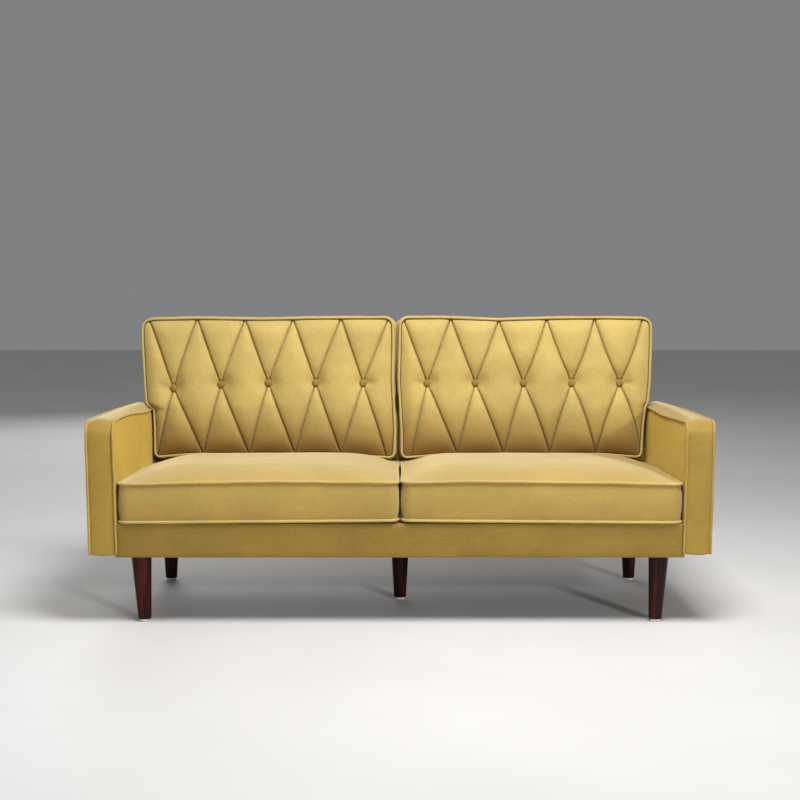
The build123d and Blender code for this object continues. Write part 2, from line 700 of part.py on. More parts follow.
def back_solid(side, inset):
    """The cushion's shape drawn in by inset, with a shallow crown at the front."""
    points, radii = back_outline(side, inset)
    low, high = BACK_CUSHION_W[0] + inset, BACK_CUSHION_W[1] - inset
    with BuildPart() as body:
        with BuildSketch(BACK.offset(low)):
            with BuildLine():
                FilletPolyline(*points, radius=radii, close=True)
            make_face()
        extrude(amount=high - low)
        with BuildSketch(BACK.offset(high)):
            with BuildLine():
                FilletPolyline(*points, radius=radii, close=True)
            make_face()
        extrude(amount=BACK_CUSHION_CROWN, taper=CROWN_TAPER / 2)
    return body


def back_piping(side, radius):
    """Piping round the front edge and round the rear edge."""
    points, radii = back_outline(side, 0.0)
    with BuildPart() as loops:
        for w in BACK_CUSHION_W:
            with BuildLine(BACK.offset(w)) as path:
                FilletPolyline(*points, radius=radii, close=True)
            with BuildSketch(Plane(origin=path.line @ 0, z_dir=path.line % 0)):
                Circle(radius)
            sweep(path=path.line)
    return loops


def button_places(side, w):
    """A plane at each button, facing out of the cushion."""
    pitch = BUTTON_PITCHES[side]
    first = BUTTON_CENTRES[side] - pitch * (BUTTON_COUNT - 1) / 2
    heights = [BUTTON_U - drop for drop in BUTTON_DROPS[side]]
    spots = [BACK.from_local_coords(Vector(first + pitch * i, u, w)) for i, u in enumerate(heights)]
    return [Plane(origin=spot, x_dir=(1, 0, 0), z_dir=BACK.z_dir) for spot in spots]


BUTTON_SINK = 2.0
BUTTON_SEAT_W = BACK_CUSHION_W[1] - BUTTON_SINK
BUTTON_RIM = 3.0
BUTTON_DOME = 5.0
BUTTON_TAPER = 50.0
RECESS_R = BUTTON_R + 2.0
TIE_R = 1.0
TIE_HOLE_R = 1.5
TOGGLE_R = 8.0
TOGGLE_THICKNESS = 2.5


def buttons(side):
    """Domed, fabric-covered buttons, each with a short shank."""
    with BuildPart() as group:
        for place in button_places(side, BUTTON_SEAT_W):
            with BuildSketch(place):
                Circle(BUTTON_R)
            extrude(amount=BUTTON_RIM)
            with BuildSketch(place.offset(BUTTON_RIM)):
                Circle(BUTTON_R)
            extrude(amount=BUTTON_DOME, taper=BUTTON_TAPER)
    return group


def button_ties(side):
    """Twine from each button through the cushion to a flat toggle inside the rear face."""
    toggle_w = BACK_CUSHION_W[0] + FABRIC + LOOSE
    with BuildPart() as group:
        for place in button_places(side, toggle_w):
            with BuildSketch(place):
                Circle(TOGGLE_R)
            extrude(amount=TOGGLE_THICKNESS)
            with BuildSketch(place.offset(TOGGLE_THICKNESS)):
                Circle(TIE_R)
            extrude(amount=BUTTON_SEAT_W - toggle_w - TOGGLE_THICKNESS)
    return group


def back_cushion(side):
    """One back cushion: foam, cover, piping, buttons and their ties."""
    groove = back_piping(side, PIPING_R + LOOSE)
    save(back_piping(side, PIPING_R), f"back_cushion_{side}_piping")
    save(buttons(side), f"back_cushion_{side}_buttons")
    save(button_ties(side), f"back_cushion_{side}_ties")

    seats = button_places(side, BUTTON_SEAT_W)
    with BuildPart() as recesses:
        for place in seats:
            with BuildSketch(place):
                Circle(RECESS_R)
            extrude(amount=PAST)
    with BuildPart() as tie_holes:
        for place in seats:
            with BuildSketch(place.offset(-BACK_CUSHION_W[1])):
                Circle(TIE_HOLE_R)
            extrude(amount=BACK_CUSHION_W[1] + FIT_GAP)
    with BuildPart() as toggle_seats:
        for place in button_places(side, BACK_CUSHION_W[0]):
            with BuildSketch(place):
                Circle(TOGGLE_R + FIT_GAP)
            extrude(amount=FABRIC + LOOSE + TOGGLE_THICKNESS + FIT_GAP)

    outer, inner = back_solid(side, 0.0), back_solid(side, FABRIC)
    with BuildPart() as cups:
        for place in button_places(side, BUTTON_SEAT_W - FABRIC):
            with BuildSketch(place):
                Circle(RECESS_R + FABRIC)
            extrude(amount=PAST)
    shell = without(outer, without(inner, cups))
    cover = without(without(without(shell, recesses), groove), tie_holes_front(seats))
    save(cover, f"back_cushion_{side}_cover")

    foam = without(back_solid(side, FABRIC + LOOSE), groove)
    with BuildPart() as wide_cups:
        for place in button_places(side, BUTTON_SEAT_W - FABRIC - LOOSE):
            with BuildSketch(place):
                Circle(RECESS_R + FABRIC + LOOSE)
            extrude(amount=PAST)
    foam = without(without(without(foam, wide_cups), tie_holes), toggle_seats)
    save(foam, f"back_cushion_{side}_foam")


def tie_holes_front(seats):
    """The holes that let the twine through the front of the cover."""
    with BuildPart() as holes:
        for place in seats:
            with BuildSketch(place.offset(-FABRIC - FIT_GAP)):
                Circle(TIE_HOLE_R)
            extrude(amount=FABRIC + 2 * FIT_GAP)
    return holes


for side in SIDE_SIGN:
    back_cushion(side)
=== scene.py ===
import json
import math

import bmesh
import bpy
import numpy as np
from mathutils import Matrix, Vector, noise

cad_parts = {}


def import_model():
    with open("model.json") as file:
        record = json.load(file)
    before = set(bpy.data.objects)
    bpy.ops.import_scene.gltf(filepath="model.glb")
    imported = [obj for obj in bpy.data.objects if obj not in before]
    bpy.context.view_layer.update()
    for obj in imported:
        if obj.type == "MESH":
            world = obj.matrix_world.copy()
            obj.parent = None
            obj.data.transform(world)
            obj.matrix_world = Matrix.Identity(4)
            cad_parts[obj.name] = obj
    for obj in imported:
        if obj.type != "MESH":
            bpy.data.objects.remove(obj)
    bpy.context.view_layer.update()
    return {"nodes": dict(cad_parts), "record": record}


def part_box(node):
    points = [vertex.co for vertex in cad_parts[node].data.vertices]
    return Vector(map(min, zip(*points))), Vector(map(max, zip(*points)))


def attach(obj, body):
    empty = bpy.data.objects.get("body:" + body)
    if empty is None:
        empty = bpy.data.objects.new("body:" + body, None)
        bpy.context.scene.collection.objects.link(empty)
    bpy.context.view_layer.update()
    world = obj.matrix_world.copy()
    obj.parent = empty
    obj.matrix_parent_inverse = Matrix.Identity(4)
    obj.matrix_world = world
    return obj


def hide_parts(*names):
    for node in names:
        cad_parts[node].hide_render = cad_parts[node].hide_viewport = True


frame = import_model()

# Two-seat sofa in gold velvet. Metres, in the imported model's frame: the front faces -Y, +Z is up.
# Left and right are as seen from in front.

SIDES = {"left": -1.0, "right": 1.0}

# ---- places taken from the frame ----------------------------------------------------------------
joints = {joint["name"]: joint for joint in frame["record"]["behaviour"]["joints"]}
RAKE_UP = np.array(joints["back_cushion_left_lift"]["axis"], float)
RAKE_UP /= np.linalg.norm(RAKE_UP)
RAKE = math.asin(RAKE_UP[1])
FORWARD = np.array([0.0, -math.cos(RAKE), math.sin(RAKE)])

back_low, back_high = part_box("back_cover")
BACK_THICKNESS = 0.035
BACK_HALF = back_high[0]
BACK_HEIGHT = (back_high[2] - BACK_THICKNESS * math.sin(RAKE) - back_low[2]) / math.cos(RAKE)
BACK_ORIGIN = np.array([0.0, back_high[1] - BACK_HEIGHT * math.sin(RAKE), back_low[2]])

PIPING_R = 0.004
ARM_PIPING_R = 0.0035
BATCH = 2000                # points handled at a time when distances are measured


# ---- mesh helpers -------------------------------------------------------------------------------
def raked(x, u, w):
    """Points from the back's own directions: across, up the rake, forward of the rear face."""
    x, u, w = np.broadcast_arrays(x, u, w)
    along = x[..., None] * np.array([1.0, 0, 0])
    return BACK_ORIGIN + along + u[..., None] * RAKE_UP + w[..., None] * FORWARD


def with_third(points, value):
    """2-D points with a third coordinate: one number for all of them, or one for each."""
    return np.column_stack([points, np.broadcast_to(value, (len(points),))])


def fbm(points, size, seed, octaves=2):
    """Smooth noise of about -1 to 1 at each point, with features of the given size."""
    flat = np.asarray(points, float).reshape(-1, 3) / size + seed * 17.31
    values = [noise.fractal(Vector(p), 1.0, 2.0, octaves) for p in flat]
    return np.array(values).reshape(np.asarray(points).shape[:-1])


def rise(distance, radius):
    """A rounded shoulder: 0 at the seam, steep at first, level at 1 beyond the radius."""
    t = np.clip(distance / radius, 0.0, 1.0)
    return np.sqrt(1.0 - (1.0 - t) ** 2)


def swell(distance, radius, flat=0.003):
    """A softer shoulder, which stays level beside the piping before it rises."""
    t = np.clip((distance - flat) / radius, 0.0, 1.0)
    return 1.0 - (1.0 - t) ** 2


def smooth(value, start, end):
    """A smooth step from 0 at start to 1 at end."""
    t = np.clip((value - start) / (end - start), 0.0, 1.0)
    return t * t * (3 - 2 * t)


def to_segments(points, starts, ends):
    """Distance from each 2-D point to each segment."""
    way = ends - starts
    length = np.maximum(np.linalg.norm(way, axis=1), 1e-9)
    rel = points[:, None, :] - starts[None]
    along = np.clip((rel * way[None]).sum(2) / length**2, 0.0, 1.0)
    foot = rel - along[..., None] * way[None]
    return np.linalg.norm(foot, axis=2)


def edge_distance(points, outline):
    """Distance from each 2-D point to a closed outline."""
    out = np.empty(len(points))
    ends = np.roll(outline, -1, axis=0)
    for start in range(0, len(points), BATCH):
        batch = slice(start, start + BATCH)
        out[batch] = to_segments(points[batch], outline, ends).min(1)
    return out


class Cloth:
    """Collects the points and faces of one closed piece."""

    def __init__(self):
        self.points, self.faces, self.count = [], [], 0

    def row(self, points):
        """Adds a row of points and returns their indices."""
        points = np.asarray(points, float)
        self.points.append(points)
        self.count += len(points)
        return np.arange(self.count - len(points), self.count)

    def bridge(self, a, b, closed=True):
        """Quads between two rows of equal length."""
        n = len(a) if closed else len(a) - 1
        for i in range(n):
            j = (i + 1) % len(a)
            self.faces.append((a[i], a[j], b[j], b[i]))

    def close(self, row, centre):
        """A fan from a closed row to one point."""
        tip = self.row([centre])[0]
        for i in range(len(row)):
            self.faces.append((row[i], row[(i + 1) % len(row)], tip))

    def make(self, name, material, weld=0.00002):
        """The finished mesh object, with its faces turned outward."""
        mesh = bpy.data.meshes.new(name)
        faces = [tuple(int(i) for i in face) for face in self.faces]
        mesh.from_pydata(np.concatenate(self.points).tolist(), [], faces)
        work = bmesh.new()
        work.from_mesh(mesh)
        bmesh.ops.remove_doubles(work, verts=work.verts, dist=weld)
        bmesh.ops.dissolve_degenerate(work, edges=work.edges, dist=weld / 4)
        bmesh.ops.recalc_face_normals(work, faces=work.faces)
        for face in work.faces:
            face.smooth = True
        work.to_mesh(mesh)
        work.free()
        obj = bpy.data.objects.new(name, mesh)
        bpy.context.scene.collection.objects.link(obj)
        mesh.materials.append(material)
        return obj


def rounded_outline(corners, radii, step=0.008, arc=7):
    """A closed 2-D outline with a radius at each corner, its straight runs cut into short steps."""
    corners = np.asarray(corners, float)
    n = len(corners)
    arcs = []
    for i, radius in enumerate(radii):
        here, before, after = corners[i], corners[i - 1], corners[(i + 1) % n]
        a, b = before - here, after - here
        a, b = a / np.linalg.norm(a), b / np.linalg.norm(b)
        half = math.acos(np.clip(a @ b, -1, 1)) / 2
        reach = radius / math.tan(half)
        centre = here + (a + b) / np.linalg.norm(a + b) * radius / math.sin(half)
        start, end = here + a * reach - centre, here + b * reach - centre
        turn = np.arctan2(start[0] * end[1] - start[1] * end[0], start @ end)
        angles = np.linspace(0, turn, arc)
        spin = [np.array([[math.cos(t), -math.sin(t)], [math.sin(t), math.cos(t)]]) @ start for t in angles]
        arcs.append(centre + np.array(spin))
    points = []
    for i in range(n):
        points.extend(arcs[i])
        start, end = arcs[i][-1], arcs[(i + 1) % n][0]
        steps = max(1, int(np.linalg.norm(end - start) / step))
        points.extend(start + (end - start) * k / steps for k in range(1, steps))
    return np.array(points)


def evenly_spaced(points, step=0.006):
    """A closed outline walked in even steps."""
    closed = np.vstack([points, points[:1]])
    length = np.concatenate([[0], np.cumsum(np.linalg.norm(np.diff(closed, axis=0), axis=1))])
    count = int(length[-1] / step)
    even = np.arange(count) * length[-1] / count
    return np.column_stack([np.interp(even, length, closed[:, i]) for i in (0, 1)])


def outward(outline):
    """Unit normals that point out of a closed outline."""
    tangent = np.roll(outline, -1, axis=0) - np.roll(outline, 1, axis=0)
    tangent /= np.linalg.norm(tangent, axis=1)[:, None]
    normal = np.stack([tangent[:, 1], -tangent[:, 0]], axis=1)
    area = np.sum(outline[:, 0] * np.roll(outline[:, 1], -1) - outline[:, 1] * np.roll(outline[:, 0], -1))
    return normal if area > 0 else -normal


def boxed(cloth, outline, place, low, high, bulge, rows=12, rings=30):
    """A boxing strip round an outline, closed by panels at its two edges.

    low and high give the third coordinate of points on the two panels from (points, distance to the
    edge), and bulge gives the outward push of the strip from (share of its height, point number)."""
    normal = outward(outline)
    zero = np.zeros(len(outline))
    low_edge, high_edge = low(outline, zero), high(outline, zero)
    strip = []
    for k in range(rows + 1):
        t = k / rows
        spot = outline + normal * bulge(t, np.arange(len(outline)))[:, None]
        strip.append(cloth.row(place(spot, low_edge + (high_edge - low_edge) * t)))
    for a, b in zip(strip, strip[1:]):
        cloth.bridge(a, b)
    centre = (outline.min(0) + outline.max(0)) / 2
    scales = 1 - np.linspace(0, 1, rings + 1)[1:] ** 1.6
    for edge, height in ((strip[0], low), (strip[-1], high)):
        last = edge
        for scale in scales[:-1]:
            ring = centre + (outline - centre) * scale
            here = cloth.row(place(ring, height(ring, edge_distance(ring, outline))))
            cloth.bridge(last, here)
            last = here
        tip = centre[None]
        cloth.close(last, place(tip, height(tip, edge_distance(tip, outline)))[0])


def tube(cloth, path, radius, closed, sides=10):
    """A round cord along a path of 3-D points."""
    path = np.asarray(path, float)
    if closed:
        ahead = np.roll(path, -1, axis=0) - np.roll(path, 1, axis=0)
    else:
        ahead = np.gradient(path, axis=0)
    ahead /= np.linalg.norm(ahead, axis=1)[:, None]
    side = np.cross(ahead[0], [0.3, 0.5, 0.8])
    rows = []
    for point, way in zip(path, ahead):
        side = side - way * (side @ way)
        side /= np.linalg.norm(side)
        other = np.cross(way, side)
        angles = (np.arange(sides) * 2 * math.pi / sides)[:, None]
        rows.append(cloth.row(point + radius * (np.cos(angles) * side + np.sin(angles) * other)))
    for a, b in zip(rows, rows[1:]):
        cloth.bridge(a, b)
    if closed:
        start = cloth.points[-len(rows)]
        end = cloth.points[-1]
        shift = int(np.argmin(np.linalg.norm(end - start[0], axis=1)))
        cloth.bridge(np.roll(rows[-1], -shift), rows[0])
    else:
        cloth.close(rows[0], path[0])
        cloth.close(rows[-1], path[-1])


# ---- materials ----------------------------------------------------------------------------------
def shader(name, roughness, **values):
    """A new material and its Principled shader, with constant values set on the shader."""
    material = bpy.data.materials.new(name)
    material.use_nodes = True
    principled = material.node_tree.nodes["Principled BSDF"]
    principled.inputs["Roughness"].default_value = roughness
    for key, value in values.items():
        principled.inputs[key.replace("_", " ")].default_value = value
    return material, principled


def node(material, kind, **values):
    """A node in the material, with input values by name."""
    made = material.node_tree.nodes.new(kind)
    for key, value in values.items():
        made.inputs[key.replace("_", " ")].default_value = value
    return made


def link(material, start, end):
    """Joins two sockets."""
    material.node_tree.links.new(start, end)


def stretched(material, scale):
    """Object coordinates, scaled along each axis."""
    coords = node(material, "ShaderNodeTexCoord")
    mapping = node(material, "ShaderNodeMapping", Scale=scale)
    link(material, coords.outputs["Object"], mapping.inputs["Vector"])
    return mapping.outputs["Vector"]


def pattern(material, scale, stretch=(1, 1, 1), detail=3.0, roughness=0.55, distortion=0.0):
    """Noise in object space."""
    values = {"Scale": scale, "Detail": detail, "Roughness": roughness, "Distortion": distortion}
    made = node(material, "ShaderNodeTexNoise", **values)
    link(material, stretched(material, stretch), made.inputs["Vector"])
    return made.outputs["Fac"]


def ramp(material, source, stops):
    """A colour ramp over a value."""
    made = node(material, "ShaderNodeValToRGB")
    elements = made.color_ramp.elements
    while len(elements) < len(stops):
        elements.new(0.5)
    for element, (place, colour) in zip(elements, stops):
        element.position = place
        element.color = (*colour, 1.0)
    link(material, source, made.inputs["Fac"])
    return made.outputs["Color"]


def mixed(material, share, a, b, blend="MIX"):
    """Two colours mixed. share is a number or a socket."""
    made = material.node_tree.nodes.new("ShaderNodeMix")
    made.data_type = "RGBA"
    made.blend_type = blend
    if isinstance(share, float):
        made.inputs["Factor"].default_value = share
    else:
        link(material, share, made.inputs["Factor"])
    link(material, a, made.inputs["A"])
    link(material, b, made.inputs["B"])
    return made.outputs["Result"]


def bumped(material, principled, layers):
    """Bump from several height sources, each with a strength and a depth."""
    last = None
    for source, strength, depth in layers:
        bump = node(material, "ShaderNodeBump", Strength=strength, Distance=depth)
        link(material, source, bump.inputs["Height"])
        if last is not None:
            link(material, last, bump.inputs["Normal"])
        last = bump.outputs["Normal"]
    link(material, last, principled.inputs["Normal"])


VELVET_LIT_AND_SHADED_TINTS = {            # tints for lit and shaded copies of one velvet: with each piece's tone below they paint light and shade, the lie of the nap adding part of the difference
    "pale": (0.455, 0.325, 0.088),
    "plain": (0.40, 0.26, 0.050),
    "deep": (0.36, 0.222, 0.022),
}


def velvet(name, tint, tone, sheen, foot=None, sheen_tint=(1.0, 0.90, 0.60)):
    """Short-pile velvet: brushed patches of nap, fine pile, and a sheen at grazing angles.

    foot is a pair of heights over which painted shade lifts, from dark at the lower height to full tone at the
    upper."""
    sheens = {"Sheen_Weight": sheen, "Sheen_Roughness": 0.45, "Sheen_Tint": (*sheen_tint, 1.0)}
    material, principled = shader(name, 0.75, **sheens)
    nap = (0.9, 1.0, 1.12)
    dark, mid, light = (tuple(channel * tone * k for channel in VELVET_LIT_AND_SHADED_TINTS[tint]) for k in nap)
    patches = pattern(material, 5.0, (1.0, 1.0, 1.6), 4.0, 0.6, 0.8)
    colour = ramp(material, patches, [(0.32, dark), (0.52, mid), (0.72, light)])
    pile = pattern(material, 260.0, (1, 1, 1), 2.0, 0.6)
    speck = ramp(material, pile, [(0.25, (0.82, 0.82, 0.8)), (0.75, (1.1, 1.1, 1.06))])
    colour = mixed(material, 1.0, colour, speck, "MULTIPLY")
    # painted shade: the colour is darkened towards the foot of the piece
    if foot is not None:
        coords = node(material, "ShaderNodeTexCoord")
        split = node(material, "ShaderNodeSeparateXYZ")
        link(material, coords.outputs["Object"], split.inputs["Vector"])
        span = node(material, "ShaderNodeMapRange", From_Min=foot[0], From_Max=foot[1])
        link(material, split.outputs["Z"], span.inputs["Value"])
        shade = ramp(material, span.outputs["Result"], [(0.0, (0.42, 0.28, 0.06)), (1.0, (1, 1, 1))])
        colour = mixed(material, 1.0, colour, shade, "MULTIPLY")
    link(material, colour, principled.inputs["Base Color"])
    brushed = pattern(material, 60.0, (1, 1, 0.35), 3.0, 0.6, 0.5)
    bumped(material, principled, [(pattern(material, 900.0), 0.25, 0.0006), (brushed, 0.12, 0.0015)])
    return material


def stained_wood(name):
    """Turned hardwood under a dark red-brown stain and satin lacquer, with the grain running up."""
    coat = {"Coat_Weight": 0.12, "Coat_Roughness": 0.12, "Coat_Tint": (1.0, 0.55, 0.4, 1.0)}
    material, principled = shader(name, 0.5, Specular_IOR_Level=0.12, **coat)
    grain = pattern(material, 38.0, (1, 1, 0.07), 6.0, 0.62, 1.4)
    colour = ramp(
        material, grain,
        [(0.28, (0.003, 0.0006, 0.0004)), (0.48, (0.015, 0.0016, 0.0006)), (0.66, (0.075, 0.008, 0.002))],
    )
    pores = pattern(material, 420.0, (1, 1, 0.04), 2.0, 0.5)
    dots = ramp(material, pores, [(0.36, (0.45, 0.42, 0.4)), (0.5, (1, 1, 1))])
    link(material, mixed(material, 1.0, colour, dots, "MULTIPLY"), principled.inputs["Base Color"])
    bumped(material, principled, [(pores, 0.12, 0.0004)])
    return material


def mottled(name, roughness, noise_values, stops, bump=None, **values):
    """A material whose colour, and bump where it has one, follow a single noise."""
    material, principled = shader(name, roughness, **values)
    source = pattern(material, *noise_values)
    link(material, ramp(material, source, stops), principled.inputs["Base Color"])
    if bump:
        bumped(material, principled, [(source, *bump)])
    return material


def plain_wood(name, dark, light, scale):
    """Sawn timber or board."""
    grain = (scale, (0.12, 1, 1), 5.0, 0.6, 1.0)
    return mottled(name, 0.7, grain, [(0.3, dark), (0.7, light)], (0.2, 0.0006))


def woven(name, dark, light, scale):
    """Plain cloth, webbing, tape or twine."""
    threads = (scale, (1, 1, 1), 2.0, 0.5)
    return mottled(name, 0.85, threads, [(0.35, dark), (0.65, light)], (0.4, 0.0005))


def plastic(name, colour, roughness):
    """Moulded plastic with faint scuffs."""
    stops = [(0.35, tuple(c * 0.86 for c in colour)), (0.6, colour)]
    return mottled(name, roughness, (90.0, (1, 1, 1), 4.0, 0.7), stops, (0.05, 0.0003))


def steel(name):
    """Zinc-plated steel."""
    stops = [(0.3, (0.42, 0.42, 0.4)), (0.7, (0.66, 0.66, 0.64))]
    return mottled(name, 0.38, (120.0, (1, 1, 1), 4.0, 0.6), stops, Metallic=1.0)


materials = {
    "velvet": velvet("gold_velvet", "plain", 1.0, 0.35),
    "velvet_seat": velvet("gold_velvet_seat_cushions", "plain", 0.94, 0.9),
    # painted light and shade: the back cushions get a pale copy for the light on their faces tilted up the rake,
    # darkened towards their feet
    "velvet_back_painted_light_and_shade": velvet("gold_velvet_back_cushions_painted_light_and_shade", "pale", 0.93, 0.40, (0.42, 0.58)),
    # painted highlight: the seat piping is a paler copy, standing in for the sheen along its tight curve
    "velvet_piping_painted_highlight": velvet("gold_velvet_piping_painted_highlight", "pale", 1.0, 0.7),
    # painted light: the back piping shares the back cushions' pale copy
    "velvet_back_piping_painted_light": velvet("gold_velvet_back_piping_painted_light", "pale", 0.92, 0.45),
    # painted light and shade: the arm's front and top band is a darker copy, its side panels a brighter, more
    # saturated copy
    "velvet_arm_band_painted_shade": velvet("gold_velvet_arm_band_painted_shade", "deep", 0.88, 0.8),
    "velvet_arm_side_painted_light": velvet("gold_velvet_arm_sides_painted_light", "deep", 1.04, 0.4, sheen_tint=(1.0, 0.74, 0.20)),
    "velvet_arm_piping": velvet("gold_velvet_arm_piping", "plain", 0.95, 0.4),
    # painted shade: the front rail is a darker copy, standing in for the shade under the seat cushions
    "velvet_rail_painted_shade": velvet("gold_velvet_base_painted_shade", "deep", 0.69, 0.10, sheen_tint=(1.0, 0.80, 0.34)),
    # painted shade: the buttons are a darker copy, standing in for the shade in their pits
    "velvet_button_painted_shade": velvet("gold_velvet_buttons_painted_shade", "deep", 0.58, 0.25),
    # partly painted shade: real stitching, coloured near black so that the seams read as shaded creases
    "thread": woven("seam_thread_and_painted_shade", (0.022, 0.011, 0.003), (0.045, 0.024, 0.006), 900.0),
    "stained_wood": stained_wood("stained_wood"),
    "white_plastic": plastic("white_glide_plastic", (0.8, 0.8, 0.78), 0.35),
    "frame_wood": plain_wood("frame_softwood", (0.5, 0.34, 0.17), (0.72, 0.54, 0.32), 30.0),
    "hardboard": plain_wood("backing_hardboard", (0.2, 0.12, 0.06), (0.3, 0.19, 0.1), 120.0),
    "foam": woven("cream_foam", (0.75, 0.68, 0.45), (0.88, 0.82, 0.6), 500.0),
    "lining": woven("black_lining", (0.012, 0.012, 0.012), (0.035, 0.035, 0.035), 700.0),
    "webbing": woven("elastic_webbing", (0.1, 0.08, 0.055), (0.26, 0.21, 0.15), 300.0),
    "twine": woven("waxed_twine", (0.5, 0.43, 0.27), (0.75, 0.67, 0.46), 900.0),
    "zip_tape": woven("zip_tape", (0.3, 0.2, 0.03), (0.42, 0.29, 0.06), 800.0),
    "zinc_steel": steel("zinc_plated_steel"),
}
slots = {part["node"]: part["material_slot"] for part in frame["record"]["subparts"]}
for name, obj in frame["nodes"].items():
    obj.data.materials.clear()
    obj.data.materials.append(materials[slots[name]])


def finish_piece(obj, body, replaced):
    """Says what a piece rides on and stands for."""
    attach(obj, body)
    if replaced:
        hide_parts(*replaced)


# ---- seat cushions ------------------------------------------------------------------------------
SEAT_CORNER_R = 0.027
SEAT_CROWN = 0.036
SEAT_SHOULDER = 0.20
SEAT_PULL_IN = 0.003
SEAT_CORNER_SINK = 0.007    # the rear corners settle under the back cushion
SEAT_CORNER_REACH = 0.16    # how far from the side edge that settling starts
SEAT_FALL = 0.017           # the top edge is this much lower at the rear
SEAT_RIDE = 0.0055          # the inner side rides this much higher than the outer
BACK_STANDS_Y = 0.212       # the back cushions stand behind this line
BACK_STANDS_Z = 0.4105      # and the seat stays below this height there
SEAM_INSET = 0.0042         # a panel's edge lies this far inside the middle of the piping


def seat_cushion(side):
    """A box cushion with a crowned top, bulging boxing, and piping round both edges."""
    sign, body = SIDES[side], f"seat_cushion_{side}"
    low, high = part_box(f"{body}_piping")
    x0, x1 = low[0] + PIPING_R, high[0] - PIPING_R
    y0, y1 = low[1] + PIPING_R, high[1] - PIPING_R
    bottom = low[2] + PIPING_R
    front_edge = high[2] - PIPING_R
    mid_x, half_x = (x0 + x1) / 2, (x1 - x0) / 2
    corners = [(x0, y0), (x1, y0), (x1, y1), (x0, y1)]
    outline = rounded_outline(corners, [SEAT_CORNER_R] * 4)
    pull = SEAT_PULL_IN * (1 - np.abs((outline[:, 0] - mid_x) / half_x) ** 2)
    depth_share = (outline[:, 1] - y0) / (y1 - y0)
    pull += SEAT_PULL_IN * (1 - np.abs(2 * depth_share - 1) ** 2)
    outline = outline - outward(outline) * (pull * smooth(pull, 0, 0.004))[:, None]
    seed = 3.0 + sign

    def lift(points):
        """The cushion rides a little higher towards the middle of the sofa."""
        return SEAT_RIDE * np.clip(0.5 - sign * (points[:, 0] - mid_x) / (2 * half_x), 0, 1) ** 1.5

    def edge(points):
        """Height of the top edge: bowed up between the corners, and lower at the rear."""
        bow = 0.006 * (1 - np.abs((points[:, 0] - mid_x) / half_x) ** 2) + lift(points)
        spot = with_third(points, seed)
        corner = smooth(np.abs(points[:, 0] - mid_x), half_x - SEAT_CORNER_REACH, half_x)
        corner = corner * smooth(points[:, 1], 0.0, 0.2)
        slope = SEAT_FALL * (points[:, 1] - y0) / (y1 - y0) + SEAT_CORNER_SINK * corner
        return front_edge - 0.004 - slope + bow + 0.0015 * fbm(spot, 0.16, seed)

    def top(points, distance):
        """The crown, pressed down at the rear where the back cushion stands on it."""
        spot = with_third(points, 0.0)
        across = np.clip((half_x - np.abs(points[:, 0] - mid_x)) / SEAT_SHOULDER, 0, 1)
        along = np.clip(np.minimum(points[:, 1] - y0, y1 - points[:, 1]) / SEAT_SHOULDER, 0, 1)
        crown = SEAT_CROWN * (1 - (1 - across) ** 2.5) * (1 - (1 - along) ** 2.5)
        dents = 0.0022 * fbm(spot, 0.22, seed + 2) * smooth(distance, 0.0, 0.08)
        fine = 0.0006 * fbm(spot, 0.05, seed + 5) * smooth(distance, 0.0, 0.03)
        height = edge(points) + crown + dents + fine
        behind = points[:, 1] - BACK_STANDS_Y
        cap = BACK_STANDS_Z - 0.20 * np.clip(behind, 0, None) + 0.3 * np.clip(-behind, 0, None)
        blend = 0.006
        return -blend * np.log(np.exp(-height / blend) + np.exp(-cap / blend))

    def under(points, distance):
        """The underside, flat on the deck."""
        return bottom + lift(points) - 0.0005 - 0.003 * rise(distance, 0.02)

    def bulge(t, index):
        """The boxing swells between the two rows of piping."""
        spot = with_third(outline, t * 0.11)
        out = (SEAM_INSET + 0.0022) * math.sin(math.pi * t) ** 0.7 if 0 < t < 1 else 0.0
        return out - SEAM_INSET + 0.0012 * math.sin(math.pi * t) * fbm(spot, 0.07, seed + 9)

    cloth = Cloth()
    boxed(cloth, outline, with_third, under, top, bulge, rows=14, rings=42)
    cover = cloth.make(f"{body}_cushion", materials["velvet_seat"])
    finish_piece(cover, body, [f"{body}_cover", f"{body}_foam"])

    welt = Cloth()
    jog = 0.0007 * fbm(with_third(outline, seed), 0.05, seed)
    for height in (edge(outline) + jog, bottom + lift(outline) + np.abs(jog)):
        tube(welt, with_third(outline, height), PIPING_R, True)
    piping = welt.make(f"{body}_welt", materials["velvet_piping_painted_highlight"])
    finish_piece(piping, body, [f"{body}_piping"])
    zip_strip(body, y1)


def zip_strip(body, rear):
    """The zip in the rear boxing: a tape with its raised coil."""
    low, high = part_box(f"{body}_zip")
    x = np.linspace(low[0], high[0], 80)
    z = (low[2] + high[2]) / 2
    half = (high[2] - low[2]) / 2
    y = rear + 0.0036
    cloth = Cloth()
    section = [
        (-half, 0.0), (-half, 0.001), (-0.0015, 0.0012), (-0.001, 0.0026),
        (0.001, 0.0026), (0.0015, 0.0012), (half, 0.001), (half, 0.0),
    ]
    rows = [cloth.row([(px, y + out, z + up) for px in x]) for up, out in section]
    for a, b in zip(rows, rows[1:] + rows[:1]):
        cloth.bridge(a, b, closed=False)
    for end in (0, -1):
        cloth.faces.append(tuple(row[end] for row in rows))
    piece = cloth.make(f"{body}_zip_tape", materials["zip_tape"], weld=0.000005)
    finish_piece(piece, body, [f"{body}_zip"])


